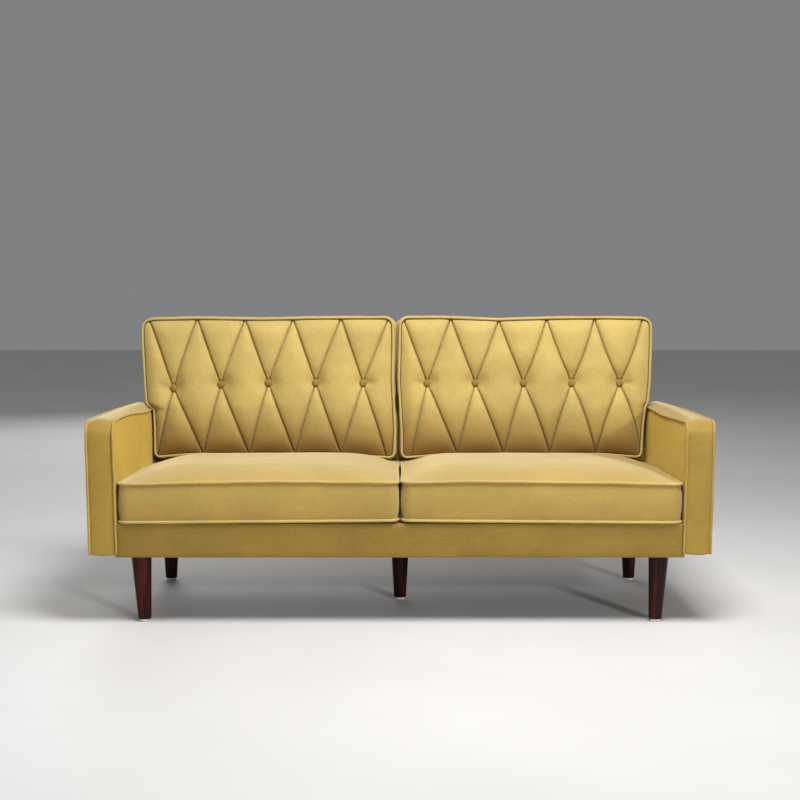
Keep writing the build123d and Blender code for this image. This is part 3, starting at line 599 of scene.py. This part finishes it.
# ---- back cushions ------------------------------------------------------------------------------
# Places on a back cushion are X, U up the rake from the foot of the back, and W forward of its rear face.
REAR_W = 0.0400
FRONT_W = 0.1190
LOW_U = 0.1995
BACK_FOOT_Z = 0.413         # height of the cushion's foot above the floor
BACK_TOP_TRIM = 0.0075      # the piping's radius and the slope of its top, taken off the height
BUTTON_U = 0.430
BUTTON_COUNT = 5
BUTTON_R = 0.0129
DROP_REACH = 0.085          # a lowered button draws the cloth down this far to each side
THREAD_R = 0.0014
REAR_CROWN = 0.0042
SEAM_PUFF = 0.016           # how far the panels stand proud of the seams
SEAM_SHOULDER = 0.050
SEAM_CREASE = 0.0056
BAND_COLUMNS = 20
END_COLUMNS = 14
FRONT_ROWS = 116
BACK_CORNER_R = 0.027
LOW_CORNER_R = 0.016
ARM_CLEAR = 0.563           # the cushion keeps between the arms below this height
ARM_GAP_X = 0.7995          # and no further out than this
ARM_TOP_Z = 0.568           # the boxing lies nearly flat where it crosses the arm's top edge
CORNER_SAG = 0.011          # how far the lower corners settle below the middle of the lower edge

# What differs between the two cushions: how far from the middle of the sofa the outer and inner edges lie,
# by height; the middle and pitch of the buttons and of the seams' upper and lower ends; how far the seams
# bow; how much lower than the row each button sits; and the dips of the upper edge, by X.
BACK_SHAPES = {
    "left": {
        "outer": [(0.40, 0.789), (0.50, 0.792), (0.5625, 0.7965), (0.5645, 0.808), (0.570, 0.816),
                  (0.580, 0.8205), (0.649, 0.827), (0.778, 0.836), (0.86, 0.838)],
        "inner": [(0.40, 0.020), (0.49, 0.016), (0.649, 0.024), (0.778, 0.022), (0.86, 0.024)],
        "buttons": -0.4275, "pitch": 0.1535, "top": -0.4265, "top_pitch": 0.1560,
        "bottom": -0.4130, "bottom_pitch": 0.1480, "bow": 0.0,
        "drops": (0.017, 0.005, 0.0, 0.0, 0.0),
        "rim": [(-0.84, -0.008), (-0.80, -0.003), (-0.66, 0.0), (-0.45, -0.003), (-0.25, 0.001),
                (-0.02, 0.002)],
    },
    "right": {
        "outer": [(0.40, 0.776), (0.50, 0.784), (0.5685, 0.794), (0.572, 0.799), (0.585, 0.802),
                  (0.649, 0.809), (0.778, 0.815), (0.86, 0.816)],
        "inner": [(0.40, 0.006), (0.49, 0.005), (0.649, -0.004), (0.778, -0.001), (0.86, 0.001)],
        "buttons": 0.4000, "pitch": 0.1560, "top": 0.3990, "top_pitch": 0.1560,
        "bottom": 0.4080, "bottom_pitch": 0.1490, "bow": 0.007,
        "drops": (0.0, 0.0, 0.0, 0.0, 0.0),
        "rim": [(0.0, 0.002), (0.15, 0.002), (0.32, -0.005), (0.48, 0.0), (0.65, 0.002), (0.82, -0.001)],
    },
}


def height_of(u, w):
    """Height above the floor of a point of the raked back."""
    return BACK_ORIGIN[2] + u * math.cos(RAKE) + w * math.sin(RAKE)


class BackCushion:
    """One tufted back cushion: its outline, seams and surfaces."""

    def __init__(self, side):
        self.body, self.sign, self.shape = f"back_cushion_{side}", SIDES[side], BACK_SHAPES[side]
        top_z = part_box(f"{self.body}_piping")[1][2]
        self.high_u = LOW_U + (top_z - BACK_FOOT_Z) / math.cos(RAKE) - BACK_TOP_TRIM
        centred = np.arange(BUTTON_COUNT) - (BUTTON_COUNT - 1) / 2
        self.button_x = self.shape["buttons"] + centred * self.shape["pitch"]
        edges = np.arange(BUTTON_COUNT + 1) - BUTTON_COUNT / 2
        self.top_x = self.shape["top"] + edges * self.shape["top_pitch"]
        self.bottom_x = self.shape["bottom"] + edges * self.shape["bottom_pitch"]
        self.seed = 20.0 + 5 * self.sign

    def edges_x(self, u, w):
        """The lowest and highest X of the outline at a height up the rake."""
        u = np.asarray(u, float)
        outer, inner = (np.interp(height_of(u, w), *zip(*self.shape[key])) for key in ("outer", "inner"))
        low, high = (-outer, -inner) if self.sign < 0 else (inner, outer)
        cut = 0.0
        for corner, reach in ((BACK_CORNER_R, self.high_u - u), (LOW_CORNER_R, u - LOW_U)):
            short = np.clip(corner - reach, 0, corner)
            cut = cut + corner - np.sqrt(np.clip(corner**2 - short**2, 0, None))
        return low + cut, high - cut

    def wave(self, x, u):
        """How far each point is lifted: the upper edge dips, the corners sag, low buttons draw down."""
        share = (u - LOW_U) / (self.high_u - LOW_U)
        rim = np.interp(x, *zip(*self.shape["rim"])) * smooth(share, 0.75, 1.0)
        low, high = self.edges_x(BUTTON_U, FRONT_W)
        across = np.clip(np.abs(2 * (x - low) / (high - low) - 1), 0, 1)
        sag = CORNER_SAG * smooth(across, 0.55, 1.0) * (1 - smooth(share, 0.0, 0.25))
        reach = np.where(u > BUTTON_U, self.high_u - BUTTON_U, BUTTON_U - LOW_U)
        nearness = np.clip(1 - np.abs(u - BUTTON_U) / reach, 0, 1)
        drop = 0.0
        for amount, at in zip(self.shape["drops"], self.button_x):
            drop = drop + amount * (1 - smooth(np.abs(x - at), 0.0, DROP_REACH))
        return rim - sag - drop * nearness

    def seam_lines(self, u):
        """X of the ten seam lines, in order, at a height up the rake."""
        u = np.asarray(u, float)
        up = np.clip((u - BUTTON_U) / (self.high_u - BUTTON_U), 0, 1)
        down = np.clip((BUTTON_U - u) / (BUTTON_U - LOW_U), 0, 1)
        lines = []
        for k in range(BUTTON_COUNT):
            for edge in (k, k + 1):
                x = self.button_x[k] + up * (self.top_x[edge] - self.button_x[k])
                x = x + down * (self.bottom_x[edge] - self.button_x[k])
                way = 1 if edge > k else -1
                bow = self.shape["bow"] * way * (k / (BUTTON_COUNT - 1)) * np.sin(math.pi * np.maximum(up, down))
                lines.append(x + bow)
        return lines

    def grid(self):
        """X and U of the front panel's points, with the seams along its columns."""
        below = np.linspace(0, 1, FRONT_ROWS // 2 + 1)
        ease = below - 0.10 * np.sin(2 * math.pi * below)
        u_rows = np.concatenate([
            LOW_U + (BUTTON_U - LOW_U) * ease,
            (BUTTON_U + (self.high_u - BUTTON_U) * ease)[1:],
        ])
        lines = self.seam_lines(u_rows)
        low, high = self.edges_x(u_rows, FRONT_W)
        inside = [np.clip(line, low + 0.002, high - 0.002) for line in lines]
        marks = [low, *inside, high]
        columns = []
        for band, (a, b) in enumerate(zip(marks, marks[1:])):
            count = END_COLUMNS if band in (0, len(marks) - 2) else BAND_COLUMNS
            t = np.linspace(0, 1, count + 1)
            t = t - 0.13 * np.sin(2 * math.pi * t)
            start = 0 if band == 0 else 1
            columns.extend(a + (b - a) * share for share in t[start:])
        x = np.stack(columns, axis=1)
        u = np.repeat(u_rows[:, None], x.shape[1], axis=1)
        return x, u

    def seam_distance(self, x, u):
        """Distance of each point to each of the ten seams."""
        lines = self.seam_lines(u)
        distances = []
        for k in range(BUTTON_COUNT):
            for line, edge in zip(lines[2 * k:], (k, k + 1)):
                rise_top = (self.top_x[edge] - self.button_x[k]) / (self.high_u - BUTTON_U)
                rise_low = (self.bottom_x[edge] - self.button_x[k]) / (LOW_U - BUTTON_U)
                slope = np.where(u > BUTTON_U, rise_top, rise_low)
                distances.append(np.abs(x - line) / np.sqrt(1 + slope**2))
        return np.array(distances)

    def front(self, x, u):
        """How far forward the front panel stands at each point."""
        low, high = self.edges_x(u, FRONT_W)
        middle, half = (low + high) / 2, (high - low) / 2
        across = np.clip(np.abs(x - middle) / half, 0, 1)
        share = (u - LOW_U) / (self.high_u - LOW_U)
        full = np.sin(math.pi * np.clip(share, 0, 1) ** 0.65)
        base = 0.015 * (1 - across**6) * full

        distances = self.seam_distance(x, u)
        near = np.prod(rise(distances, SEAM_SHOULDER), axis=0)
        closest = distances.min(0)

        side = np.minimum(x - low, high - x)
        edge = np.clip(np.minimum(side, np.minimum(u - LOW_U, self.high_u - u)), 0, None)
        puff = SEAM_PUFF * near * swell(side, 0.045)
        puff = puff * swell(self.high_u - u, 0.05) * swell(u - LOW_U, 0.06)
        crease = SEAM_CREASE * np.exp(-((closest / 0.0026) ** 2)) * smooth(edge, 0.0, 0.012)

        to_button = np.sqrt((x[..., None] - self.button_x) ** 2 + (u[..., None] - BUTTON_U) ** 2)
        nearest = to_button.min(-1)
        puff = puff * (0.25 + 0.75 * smooth(nearest, 0.006, 0.045))
        pulled = 0.014 * np.exp(-((nearest / 0.045) ** 2)) + 0.005 * np.exp(-((nearest / 0.016) ** 4))

        spot = np.stack([x, u, np.full(x.shape, self.seed)], axis=-1)
        pucker = np.sin(2 * math.pi * u / 0.0135 + 3 * fbm(spot, 0.05, self.seed, 1))
        pucker = 0.00055 * pucker * np.exp(-closest / 0.010) * smooth(closest, 0, 0.004)
        dents = 0.0022 * fbm(spot, 0.10, self.seed + 1) * smooth(closest, 0.0, 0.03)
        fine = 0.0007 * fbm(spot * np.array([1, 0.5, 1]), 0.028, self.seed + 2) * smooth(closest, 0.0, 0.02)
        settle = smooth(edge, 0.0, 0.012)
        small = (pucker + dents + fine + self.pinches(x, u)) * settle
        return FRONT_W - 0.0015 + base + puff - crease - pulled + small

    def pinches(self, x, u):
        """Short folds that run out from the end buttons towards the sides."""
        total = np.zeros_like(x)
        for x0, way in ((self.button_x[0], -1), (self.button_x[-1], 1)):
            out = (x - x0) * way
            for number, slope in enumerate((-0.28, -0.05, 0.17)):
                line = BUTTON_U + slope * out
                fold = np.exp(-(((u - line) / (0.0035 + 0.03 * np.clip(out, 0, None))) ** 2))
                fade = 1 - smooth(out, 0.03, 0.065 - 0.008 * number)
                total -= 0.0022 * fold * smooth(out, 0.008, 0.02) * fade
        return total

    def build(self):
        """The whole cushion as one closed mesh, and its piping and buttons."""
        x, u = self.grid()
        u_shown = u + self.wave(x, u)
        rows, columns = x.shape
        cloth = Cloth()
        grid = [cloth.row(line) for line in raked(x, u_shown, self.front(x, u))]
        for a, b in zip(grid, grid[1:]):
            cloth.bridge(a, b, closed=False)
        loop = [(0, c) for c in range(columns)]
        loop += [(r, columns - 1) for r in range(1, rows)]
        loop += [(rows - 1, c) for c in range(columns - 2, -1, -1)]
        loop += [(r, 0) for r in range(rows - 2, 0, -1)]
        flat = np.array([(x[s], u_shown[s]) for s in loop])
        self.edge_loop = evenly_spaced(flat)
        self.sides(cloth, np.array([grid[r][c] for r, c in loop]), flat)
        piece = cloth.make(f"{self.body}_cushion", materials["velvet_back_painted_light_and_shade"])
        replaced = [f"{self.body}_{name}" for name in ("cover", "foam", "ties")]
        finish_piece(piece, self.body, replaced)
        self.stitches()
        self.piping()
        self.buttons()

    def sides(self, cloth, last, flat, rows=12, rings=14):
        """The boxing and the rear panel, carried on from the front panel's last points."""
        gaps = np.linalg.norm(flat[:, None] - self.edge_loop[None], axis=2)
        normal = outward(self.edge_loop)[gaps.argmin(1)]
        depth = FRONT_W - REAR_W
        upper = smooth(flat[:, 1], BUTTON_U, self.high_u)
        inner_side = smooth(-normal[:, 0] * self.sign, 0.7, 1.0)
        for k in range(1, rows + 1):
            t = k / rows
            w = FRONT_W - depth * t
            spot = with_third(flat, t * 0.1 + self.seed)
            arch = math.sin(math.pi * t) ** 0.7 if k < rows else 0.0
            on_arm = np.exp(-(((height_of(flat[:, 1], w) - ARM_TOP_Z) / 0.02) ** 2))
            arch = arch * (1 - 0.9 * on_arm)
            out = (SEAM_INSET + 0.004 + 0.007 * upper + 0.004 * inner_side) * arch - SEAM_INSET
            out = out + 0.0015 * math.sin(math.pi * t) * fbm(spot, 0.06, self.seed + 4)
            moved = self.narrowed(flat, w) + normal * out[..., None]
            moved[:, 0] = self.between_arms(moved, w)
            here = cloth.row(raked(*moved.T, w))
            cloth.bridge(last, here)
            last = here
        rear = self.narrowed(flat, REAR_W)
        centre = (rear.min(0) + rear.max(0)) / 2
        for k in range(1, rings):
            scale = 1 - (k / rings) ** 1.5
            ring = centre + (rear - centre) * scale
            w = REAR_W - REAR_CROWN * rise(edge_distance(ring, rear), 0.05)
            here = cloth.row(raked(*ring.T, w))
            cloth.bridge(last, here)
            last = here
        cloth.close(last, raked(*centre, REAR_W - REAR_CROWN))

    def narrowed(self, flat, w):
        """The outline at another depth: the shoulder over the arm stays at the same height."""
        low_f, high_f = self.edges_x(flat[:, 1], FRONT_W)
        low_w, high_w = self.edges_x(flat[:, 1], w)
        share = np.clip((flat[:, 0] - low_f) / np.maximum(high_f - low_f, 1e-6), -0.02, 1.02)
        moved = flat.copy()
        moved[:, 0] = low_w + share * (high_w - low_w)
        return moved

    def between_arms(self, moved, w):
        """X held clear of the arm wherever the cushion is lower than the arm's top."""
        z = height_of(moved[:, 1], w)
        limit = np.where(z < ARM_CLEAR, ARM_GAP_X, 2.0)
        return np.clip(moved[:, 0], -limit, limit)

    def stitches(self, pitch=0.0078, length=0.0056):
        """Stitches of dark thread along every seam of the front panel, and just inside its piping. The thread is
        darker than the velvet to paint the shade in the creases, and the row inside the piping paints the shadow
        line beside it.
        """
        thread = Cloth()
        fine = np.arange(LOW_U + 0.006, self.high_u - 0.006, pitch)
        fine = fine[np.abs(fine - BUTTON_U) > 0.014]
        for number in range(2 * BUTTON_COUNT):
            ends = []
            for u in (fine - length / 2, fine + length / 2):
                x = self.seam_lines(u)[number]
                ends.append(raked(x, u + self.wave(x, u), self.front(x, u) + 0.0006))
            low, high = self.edges_x(fine, FRONT_W)
            x = self.seam_lines(fine)[number]
            for a, b, ok in zip(*ends, (x > low + 0.008) & (x < high - 0.008)):
                if ok:
                    middle = (a + b) / 2 + 0.0007 * FORWARD
                    tube(thread, [a, middle, b], THREAD_R, False, sides=5)
        # painted shadow: stitches just inside the piping stand in for the shadow line beside it
        rim = self.edge_loop - outward(self.edge_loop) * (PIPING_R + 0.0016)
        nominal = rim[:, 1] - self.wave(*rim.T)
        path = raked(*rim.T, np.maximum(self.front(rim[:, 0], nominal), FRONT_W) + 0.0004)
        for a, b in zip(path, np.roll(path, -1, axis=0)):
            stitch = [a, (a + b) / 2 + 0.0003 * FORWARD, a + 0.9 * (b - a)]
            tube(thread, stitch, 0.7 * THREAD_R, False, sides=5)
        piece = thread.make(f"{self.body}_seam_thread_and_painted_shade", materials["thread"], weld=0.000002)
        finish_piece(piece, self.body, [])

    def piping(self):
        """Piping round the front and rear edges."""
        welt = Cloth()
        for w in (FRONT_W, REAR_W):
            tube(welt, raked(*self.narrowed(self.edge_loop, w).T, w), PIPING_R, True)
        piece = welt.make(f"{self.body}_welt", materials["velvet_back_piping_painted_light"])
        finish_piece(piece, self.body, [f"{self.body}_piping"])

    def buttons(self, spokes=36):
        """Covered buttons: a dome, a rolled rim with faint gathers, and a flat back."""
        profile = [(0.0, 0.0066), (0.3, 0.0063), (0.6, 0.0052), (0.82, 0.0036), (0.95, 0.0016), (1.0, 0.0),
                   (0.96, -0.0018), (0.8, -0.003), (0.5, -0.0036)]
        cloth = Cloth()
        angles = np.arange(spokes) * 2 * math.pi / spokes
        for x0, drop in zip(self.button_x, self.shape["drops"]):
            around = np.array([x0 + BUTTON_R * np.cos(angles), BUTTON_U + BUTTON_R * np.sin(angles)])
            w0 = self.front(*around).mean() + 0.0008
            u0 = BUTTON_U - drop
            rings = []
            for share, lift in profile[1:]:
                gather = 1 + 0.012 * np.sin(12 * angles) * (share > 0.7)
                radius = BUTTON_R * share * gather
                ring = raked(x0 + radius * np.cos(angles), u0 + radius * np.sin(angles), w0 + lift)
                rings.append(cloth.row(ring))
            for a, b in zip(rings, rings[1:]):
                cloth.bridge(a, b)
            cloth.close(rings[0], raked(x0, u0, w0 + profile[0][1]))
            cloth.close(rings[-1], raked(x0, u0, w0 + profile[-1][1]))
        piece = cloth.make(f"{self.body}_covered_buttons", materials["velvet_button_painted_shade"], weld=0.000005)
        finish_piece(piece, self.body, [f"{self.body}_buttons"])


# ---- arms ---------------------------------------------------------------------------------------
ARM_CORNER_R = 0.040
ARM_FALL = 0.018            # the top is this much lower at the rear
ARM_FOOT_DROP = {"left": 0.005, "right": 0.002}     # the cloth hangs a little below the frame
# How far the top edges wander from their straight line, by depth: inner left, inner right, and outer.
ARM_WANDER = {
    "left": [(-0.40, 0.0), (-0.33, 0.002), (-0.22, 0.004), (-0.07, 0.001), (0.10, -0.008), (0.20, -0.011),
             (0.36, -0.006)],
    "right": [(-0.40, 0.0), (-0.35, -0.002), (-0.20, -0.006), (0.0, -0.010), (0.13, -0.006), (0.25, -0.004),
              (0.36, -0.003)],
    "outer": [(-0.40, 0.0), (-0.30, 0.001), (-0.15, 0.003), (0.10, 0.003), (0.36, 0.0)],
}


def arm(side):
    """A boxed arm: two side panels and a band over the front and top, with piping at the band's edges."""
    sign = SIDES[side]
    low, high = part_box(f"arm_cover_{side}")
    inner, outer = sorted((abs(low[0]), abs(high[0])))
    front, rear = low[1], high[1]
    bottom, top = low[2] - ARM_FOOT_DROP[side], high[2]
    rear_low = rear - (top - ARM_FALL - bottom) * math.tan(RAKE)
    corners = [(front, bottom), (rear_low, bottom), (rear, top - ARM_FALL), (front, top)]
    outline = rounded_outline(corners, [0.006, 0.008, 0.012, ARM_CORNER_R], step=0.009, arc=10)
    seed = 40.0 + sign

    def lean(z):
        """The arm leans out a little towards its top."""
        return -0.0045 + 0.0065 * (z - bottom) / (top - bottom)

    def place(points, r):
        """From (y, z) and distance from the sofa's middle to the shared frame, with the edge's wander."""
        inside = 1 - smooth(r, inner + 0.002, inner + 0.028)
        wander = inside * np.interp(points[:, 0], *zip(*ARM_WANDER[side]))
        wander = wander + (1 - inside) * np.interp(points[:, 0], *zip(*ARM_WANDER["outer"]))
        up = points[:, 1] + wander * smooth(points[:, 1], 0.42, top - 0.03)
        return np.column_stack([sign * (r + lean(points[:, 1])), points[:, 0], up])

    def panel(base, way, number):
        """One side panel, slightly crowned."""
        def height(points, distance):
            spot = with_third(points, seed + number)
            crown = 0.0035 * swell(distance, 0.05) + 0.001 * smooth(distance, 0.02, 0.2)
            uneven = 0.0011 * fbm(spot, 0.14, seed + number) * smooth(distance, 0, 0.05)
            return base + way * (crown + uneven)
        return height

    on_top = smooth(outline[:, 1], top - 0.06, top - 0.02) * (outline[:, 0] > front + 0.01)
    on_top = on_top * (1 + 1.1 * smooth(outline[:, 0], -0.15, 0.2))

    def bulge(t, index):
        """The band between the two rows of piping is softly rounded, and fullest along the top."""
        spot = with_third(outline, t * 0.08)
        arch = math.sin(math.pi * t) ** 0.55 if 0 < t < 1 else 0.0
        uneven = 0.0011 * fbm(spot, 0.05, seed + 3) * math.sin(math.pi * t)
        return (SEAM_INSET + 0.0018 + 0.0045 * on_top) * arch - SEAM_INSET + uneven

    cloth = Cloth()
    inner_edge, outer_edge = inner + 0.0012, outer - 0.0008
    inner_panel, outer_panel = panel(inner_edge, -1, 0), panel(outer_edge, 1, 1)
    boxed(cloth, outline, place, inner_panel, outer_panel, bulge, rows=14, rings=26)
    cover = cloth.make(f"arm_{side}_upholstery", materials["velvet_arm_band_painted_shade"])
    # painted light: faces turned sideways take the brighter side copy of the velvet, the rest the darker band
    # copy
    cover.data.materials.append(materials["velvet_arm_side_painted_light"])
    for face in cover.data.polygons:
        face.material_index = 1 if abs(face.normal.x) > 0.8 else 0
    finish_piece(cover, "frame", [f"arm_cover_{side}", f"arm_padding_{side}"])

    welt = Cloth()
    path = arm_piping_path(front, rear, bottom, top)
    for edge, stop in ((inner_edge, BACK_THICKNESS / math.cos(RAKE)), (outer_edge, 0.0)):
        run = path[path[:, 0] < rear - 0.004 - stop]
        jog = 0.0011 * fbm(with_third(run, edge), 0.045, seed)
        tube(welt, place(run, edge + jog), ARM_PIPING_R, False)
    piping = welt.make(f"arm_{side}_welt", materials["velvet_arm_piping"])
    finish_piece(piping, "frame", [f"arm_piping_{side}"])


def arm_piping_path(front, rear, bottom, top, step=0.008):
    """Up the front edge, round the corner and back along the top, as (y, z) points."""
    radius = ARM_CORNER_R
    slope = ARM_FALL / (rear - front)
    up = np.arange(bottom + 0.0025, top - radius, step)
    turn = np.linspace(0, math.pi / 2 - slope, 12)
    along = np.arange(front + radius + step, rear, step)
    rise_up = np.column_stack([np.full(len(up), front), up])
    corner = np.column_stack([
        front + radius - radius * np.cos(turn),
        top - radius + radius * np.sin(turn) - 0.0004,
    ])
    run = np.column_stack([along, top - slope * (along - front)])
    return np.vstack([rise_up, corner, run])


# ---- base, deck and outside back ----------------------------------------------------------------
RAIL_DEPTH = 0.0205         # from the face of the rail's cloth to the front of the deck
RAIL_FOOT_DROP = 0.0035     # the cloth hangs this far below the frame


def base_rail():
    """The padded front rail, its cloth turned under at the bottom."""
    low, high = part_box("base_cover")
    foot = low[2] - RAIL_FOOT_DROP
    corners = [(low[0], foot), (high[0], foot), (high[0], high[2]), (low[0], high[2])]
    outline = rounded_outline(corners, [0.004] * 4, step=0.009, arc=5)
    seed = 60.0

    def place(points, r):
        return np.column_stack([points[:, 0], low[1] + r, points[:, 1]])

    def face(points, distance):
        spot = with_third(points, 0.0)
        drawn = 0.0009 * fbm(spot * np.array([1, 0.35, 1]), 0.05, seed) * smooth(distance, 0, 0.02)
        broad = 0.0014 * fbm(spot * np.array([1, 0.5, 1]), 0.22, seed + 1) * smooth(distance, 0, 0.03)
        return 0.003 - 0.0035 * rise(distance, 0.02) + drawn + broad

    def rear_face(points, distance):
        return np.full(len(points), RAIL_DEPTH)

    def flat_edge(t, index):
        return np.zeros(len(index))

    cloth = Cloth()
    boxed(cloth, outline, place, face, rear_face, flat_edge, rows=4, rings=16)
    # painted shade: the rail takes the darker velvet copy
    rail = cloth.make("base_rail_upholstery", materials["velvet_rail_painted_shade"])
    finish_piece(rail, "frame", ["base_cover", "rail_padding"])

    deck = Cloth()
    deck_low = low[1] + RAIL_DEPTH
    corners = [(low[0], deck_low), (high[0], deck_low), (high[0], high[1]), (low[0], high[1])]
    outline = rounded_outline(corners, [0.001] * 4, step=0.02, arc=3)

    def deck_top(points, distance):
        spot = with_third(points, 0.0)
        return high[2] - 0.0006 - 0.0006 * np.abs(fbm(spot, 0.2, seed + 5)) * rise(distance, 0.05)

    def deck_under(points, distance):
        return np.full(len(points), high[2] - 0.002)

    boxed(deck, outline, with_third, deck_under, deck_top, flat_edge, rows=1, rings=14)
    piece = deck.make("seat_deck_cloth", materials["velvet"])
    finish_piece(piece, "frame", ["base_cover"])


def outside_back():
    """The upholstered back: a flat rear panel, a rounded top edge, and a padded inner face."""
    deck_u = 0.1
    corners = [(-BACK_HALF, 0.0), (BACK_HALF, 0.0), (BACK_HALF, BACK_HEIGHT), (-BACK_HALF, BACK_HEIGHT)]
    outline = rounded_outline(corners, [0.003, 0.003, 0.016, 0.016], step=0.011, arc=7)
    seed = 80.0

    def place(points, r):
        return raked(*points.T, r)

    def rear_face(points, distance):
        spot = with_third(points, 0.0)
        uneven = 0.0009 * fbm(spot, 0.25, seed) * smooth(distance, 0.0, 0.06)
        return 0.0045 - 0.0040 * rise(distance, 0.016) - uneven * 0.5

    def front_face(points, distance):
        thick = BACK_THICKNESS - 0.0075 * (1 - smooth(points[:, 1], deck_u - 0.02, deck_u + 0.01))
        return thick - 0.004 + 0.0038 * rise(distance, 0.016)

    def bulge(t, index):
        return np.full(len(index), 0.0 if t in (0, 1) else 0.0005 * math.sin(math.pi * t))

    cloth = Cloth()
    boxed(cloth, outline, place, rear_face, front_face, bulge, rows=8, rings=28)
    piece = cloth.make("back_upholstery", materials["velvet"])
    finish_piece(piece, "frame", ["back_cover", "back_padding"])


for side in SIDES:
    seat_cushion(side)
    BackCushion(side).build()
    arm(side)
base_rail()
outside_back()


# ---- stage, lights and camera -------------------------------------------------------------------
def floor():
    """A plain pale floor."""
    bpy.ops.mesh.primitive_plane_add(size=30.0, location=(0, 0, -0.0005))
    plane = bpy.context.object
    plane.name = "floor"
    material, principled = shader("pale_floor", 0.6)
    tone = ramp(material, pattern(material, 1.5), [(0.3, (0.62, 0.61, 0.6)), (0.7, (0.66, 0.65, 0.64))])
    link(material, tone, principled.inputs["Base Color"])
    plane.data.materials.append(material)


def area_light(name, place, target, size, power, colour=(1, 1, 1)):
    """A soft square light aimed at a point."""
    data = bpy.data.lights.new(name, "AREA")
    data.size, data.energy, data.color = size, power, colour
    lamp = bpy.data.objects.new(name, data)
    lamp.location = place
    lamp.rotation_euler = (Vector(target) - Vector(place)).to_track_quat("-Z", "Y").to_euler()
    bpy.context.scene.collection.objects.link(lamp)


CAMERA_PLACE = (0.0, -4.5344, 0.9884)
CAMERA_TILT = math.radians(4.818)
CAMERA_LENS = 66.73


def camera():
    """The camera, level across and tipped slightly down."""
    data = bpy.data.cameras.new("camera")
    data.lens, data.sensor_width = CAMERA_LENS, 36.0
    obj = bpy.data.objects.new("camera", data)
    obj.location = CAMERA_PLACE
    obj.rotation_euler = (math.pi / 2 - CAMERA_TILT, 0, 0)
    bpy.context.scene.collection.objects.link(obj)
    bpy.context.scene.camera = obj


def world():
    """Even pale light from all round."""
    made = bpy.data.worlds.new("studio")
    made.use_nodes = True
    background = made.node_tree.nodes["Background"]
    background.inputs["Color"].default_value = (0.80, 0.81, 0.83, 1)
    background.inputs["Strength"].default_value = 0.27
    bpy.context.scene.world = made


floor()
world()
area_light("key", (4.6, -8.2, 3.1), (0.0, 0.0, 0.45), 0.7, 310.0, (1.0, 0.98, 0.95))
area_light("fill", (-3.0, -2.8, 1.6), (0.0, 0.0, 0.4), 2.4, 13.0, (0.97, 0.98, 1.0))
area_light("top", (0.5, -1.2, 3.0), (0.0, 0.1, 0.4), 1.3, 122.0)
area_light("rear", (-1.6, 5.0, 2.8), (0.0, 0.3, 0.3), 3.0, 75.0)
bpy.context.scene.view_settings.view_transform = "Standard"
camera()
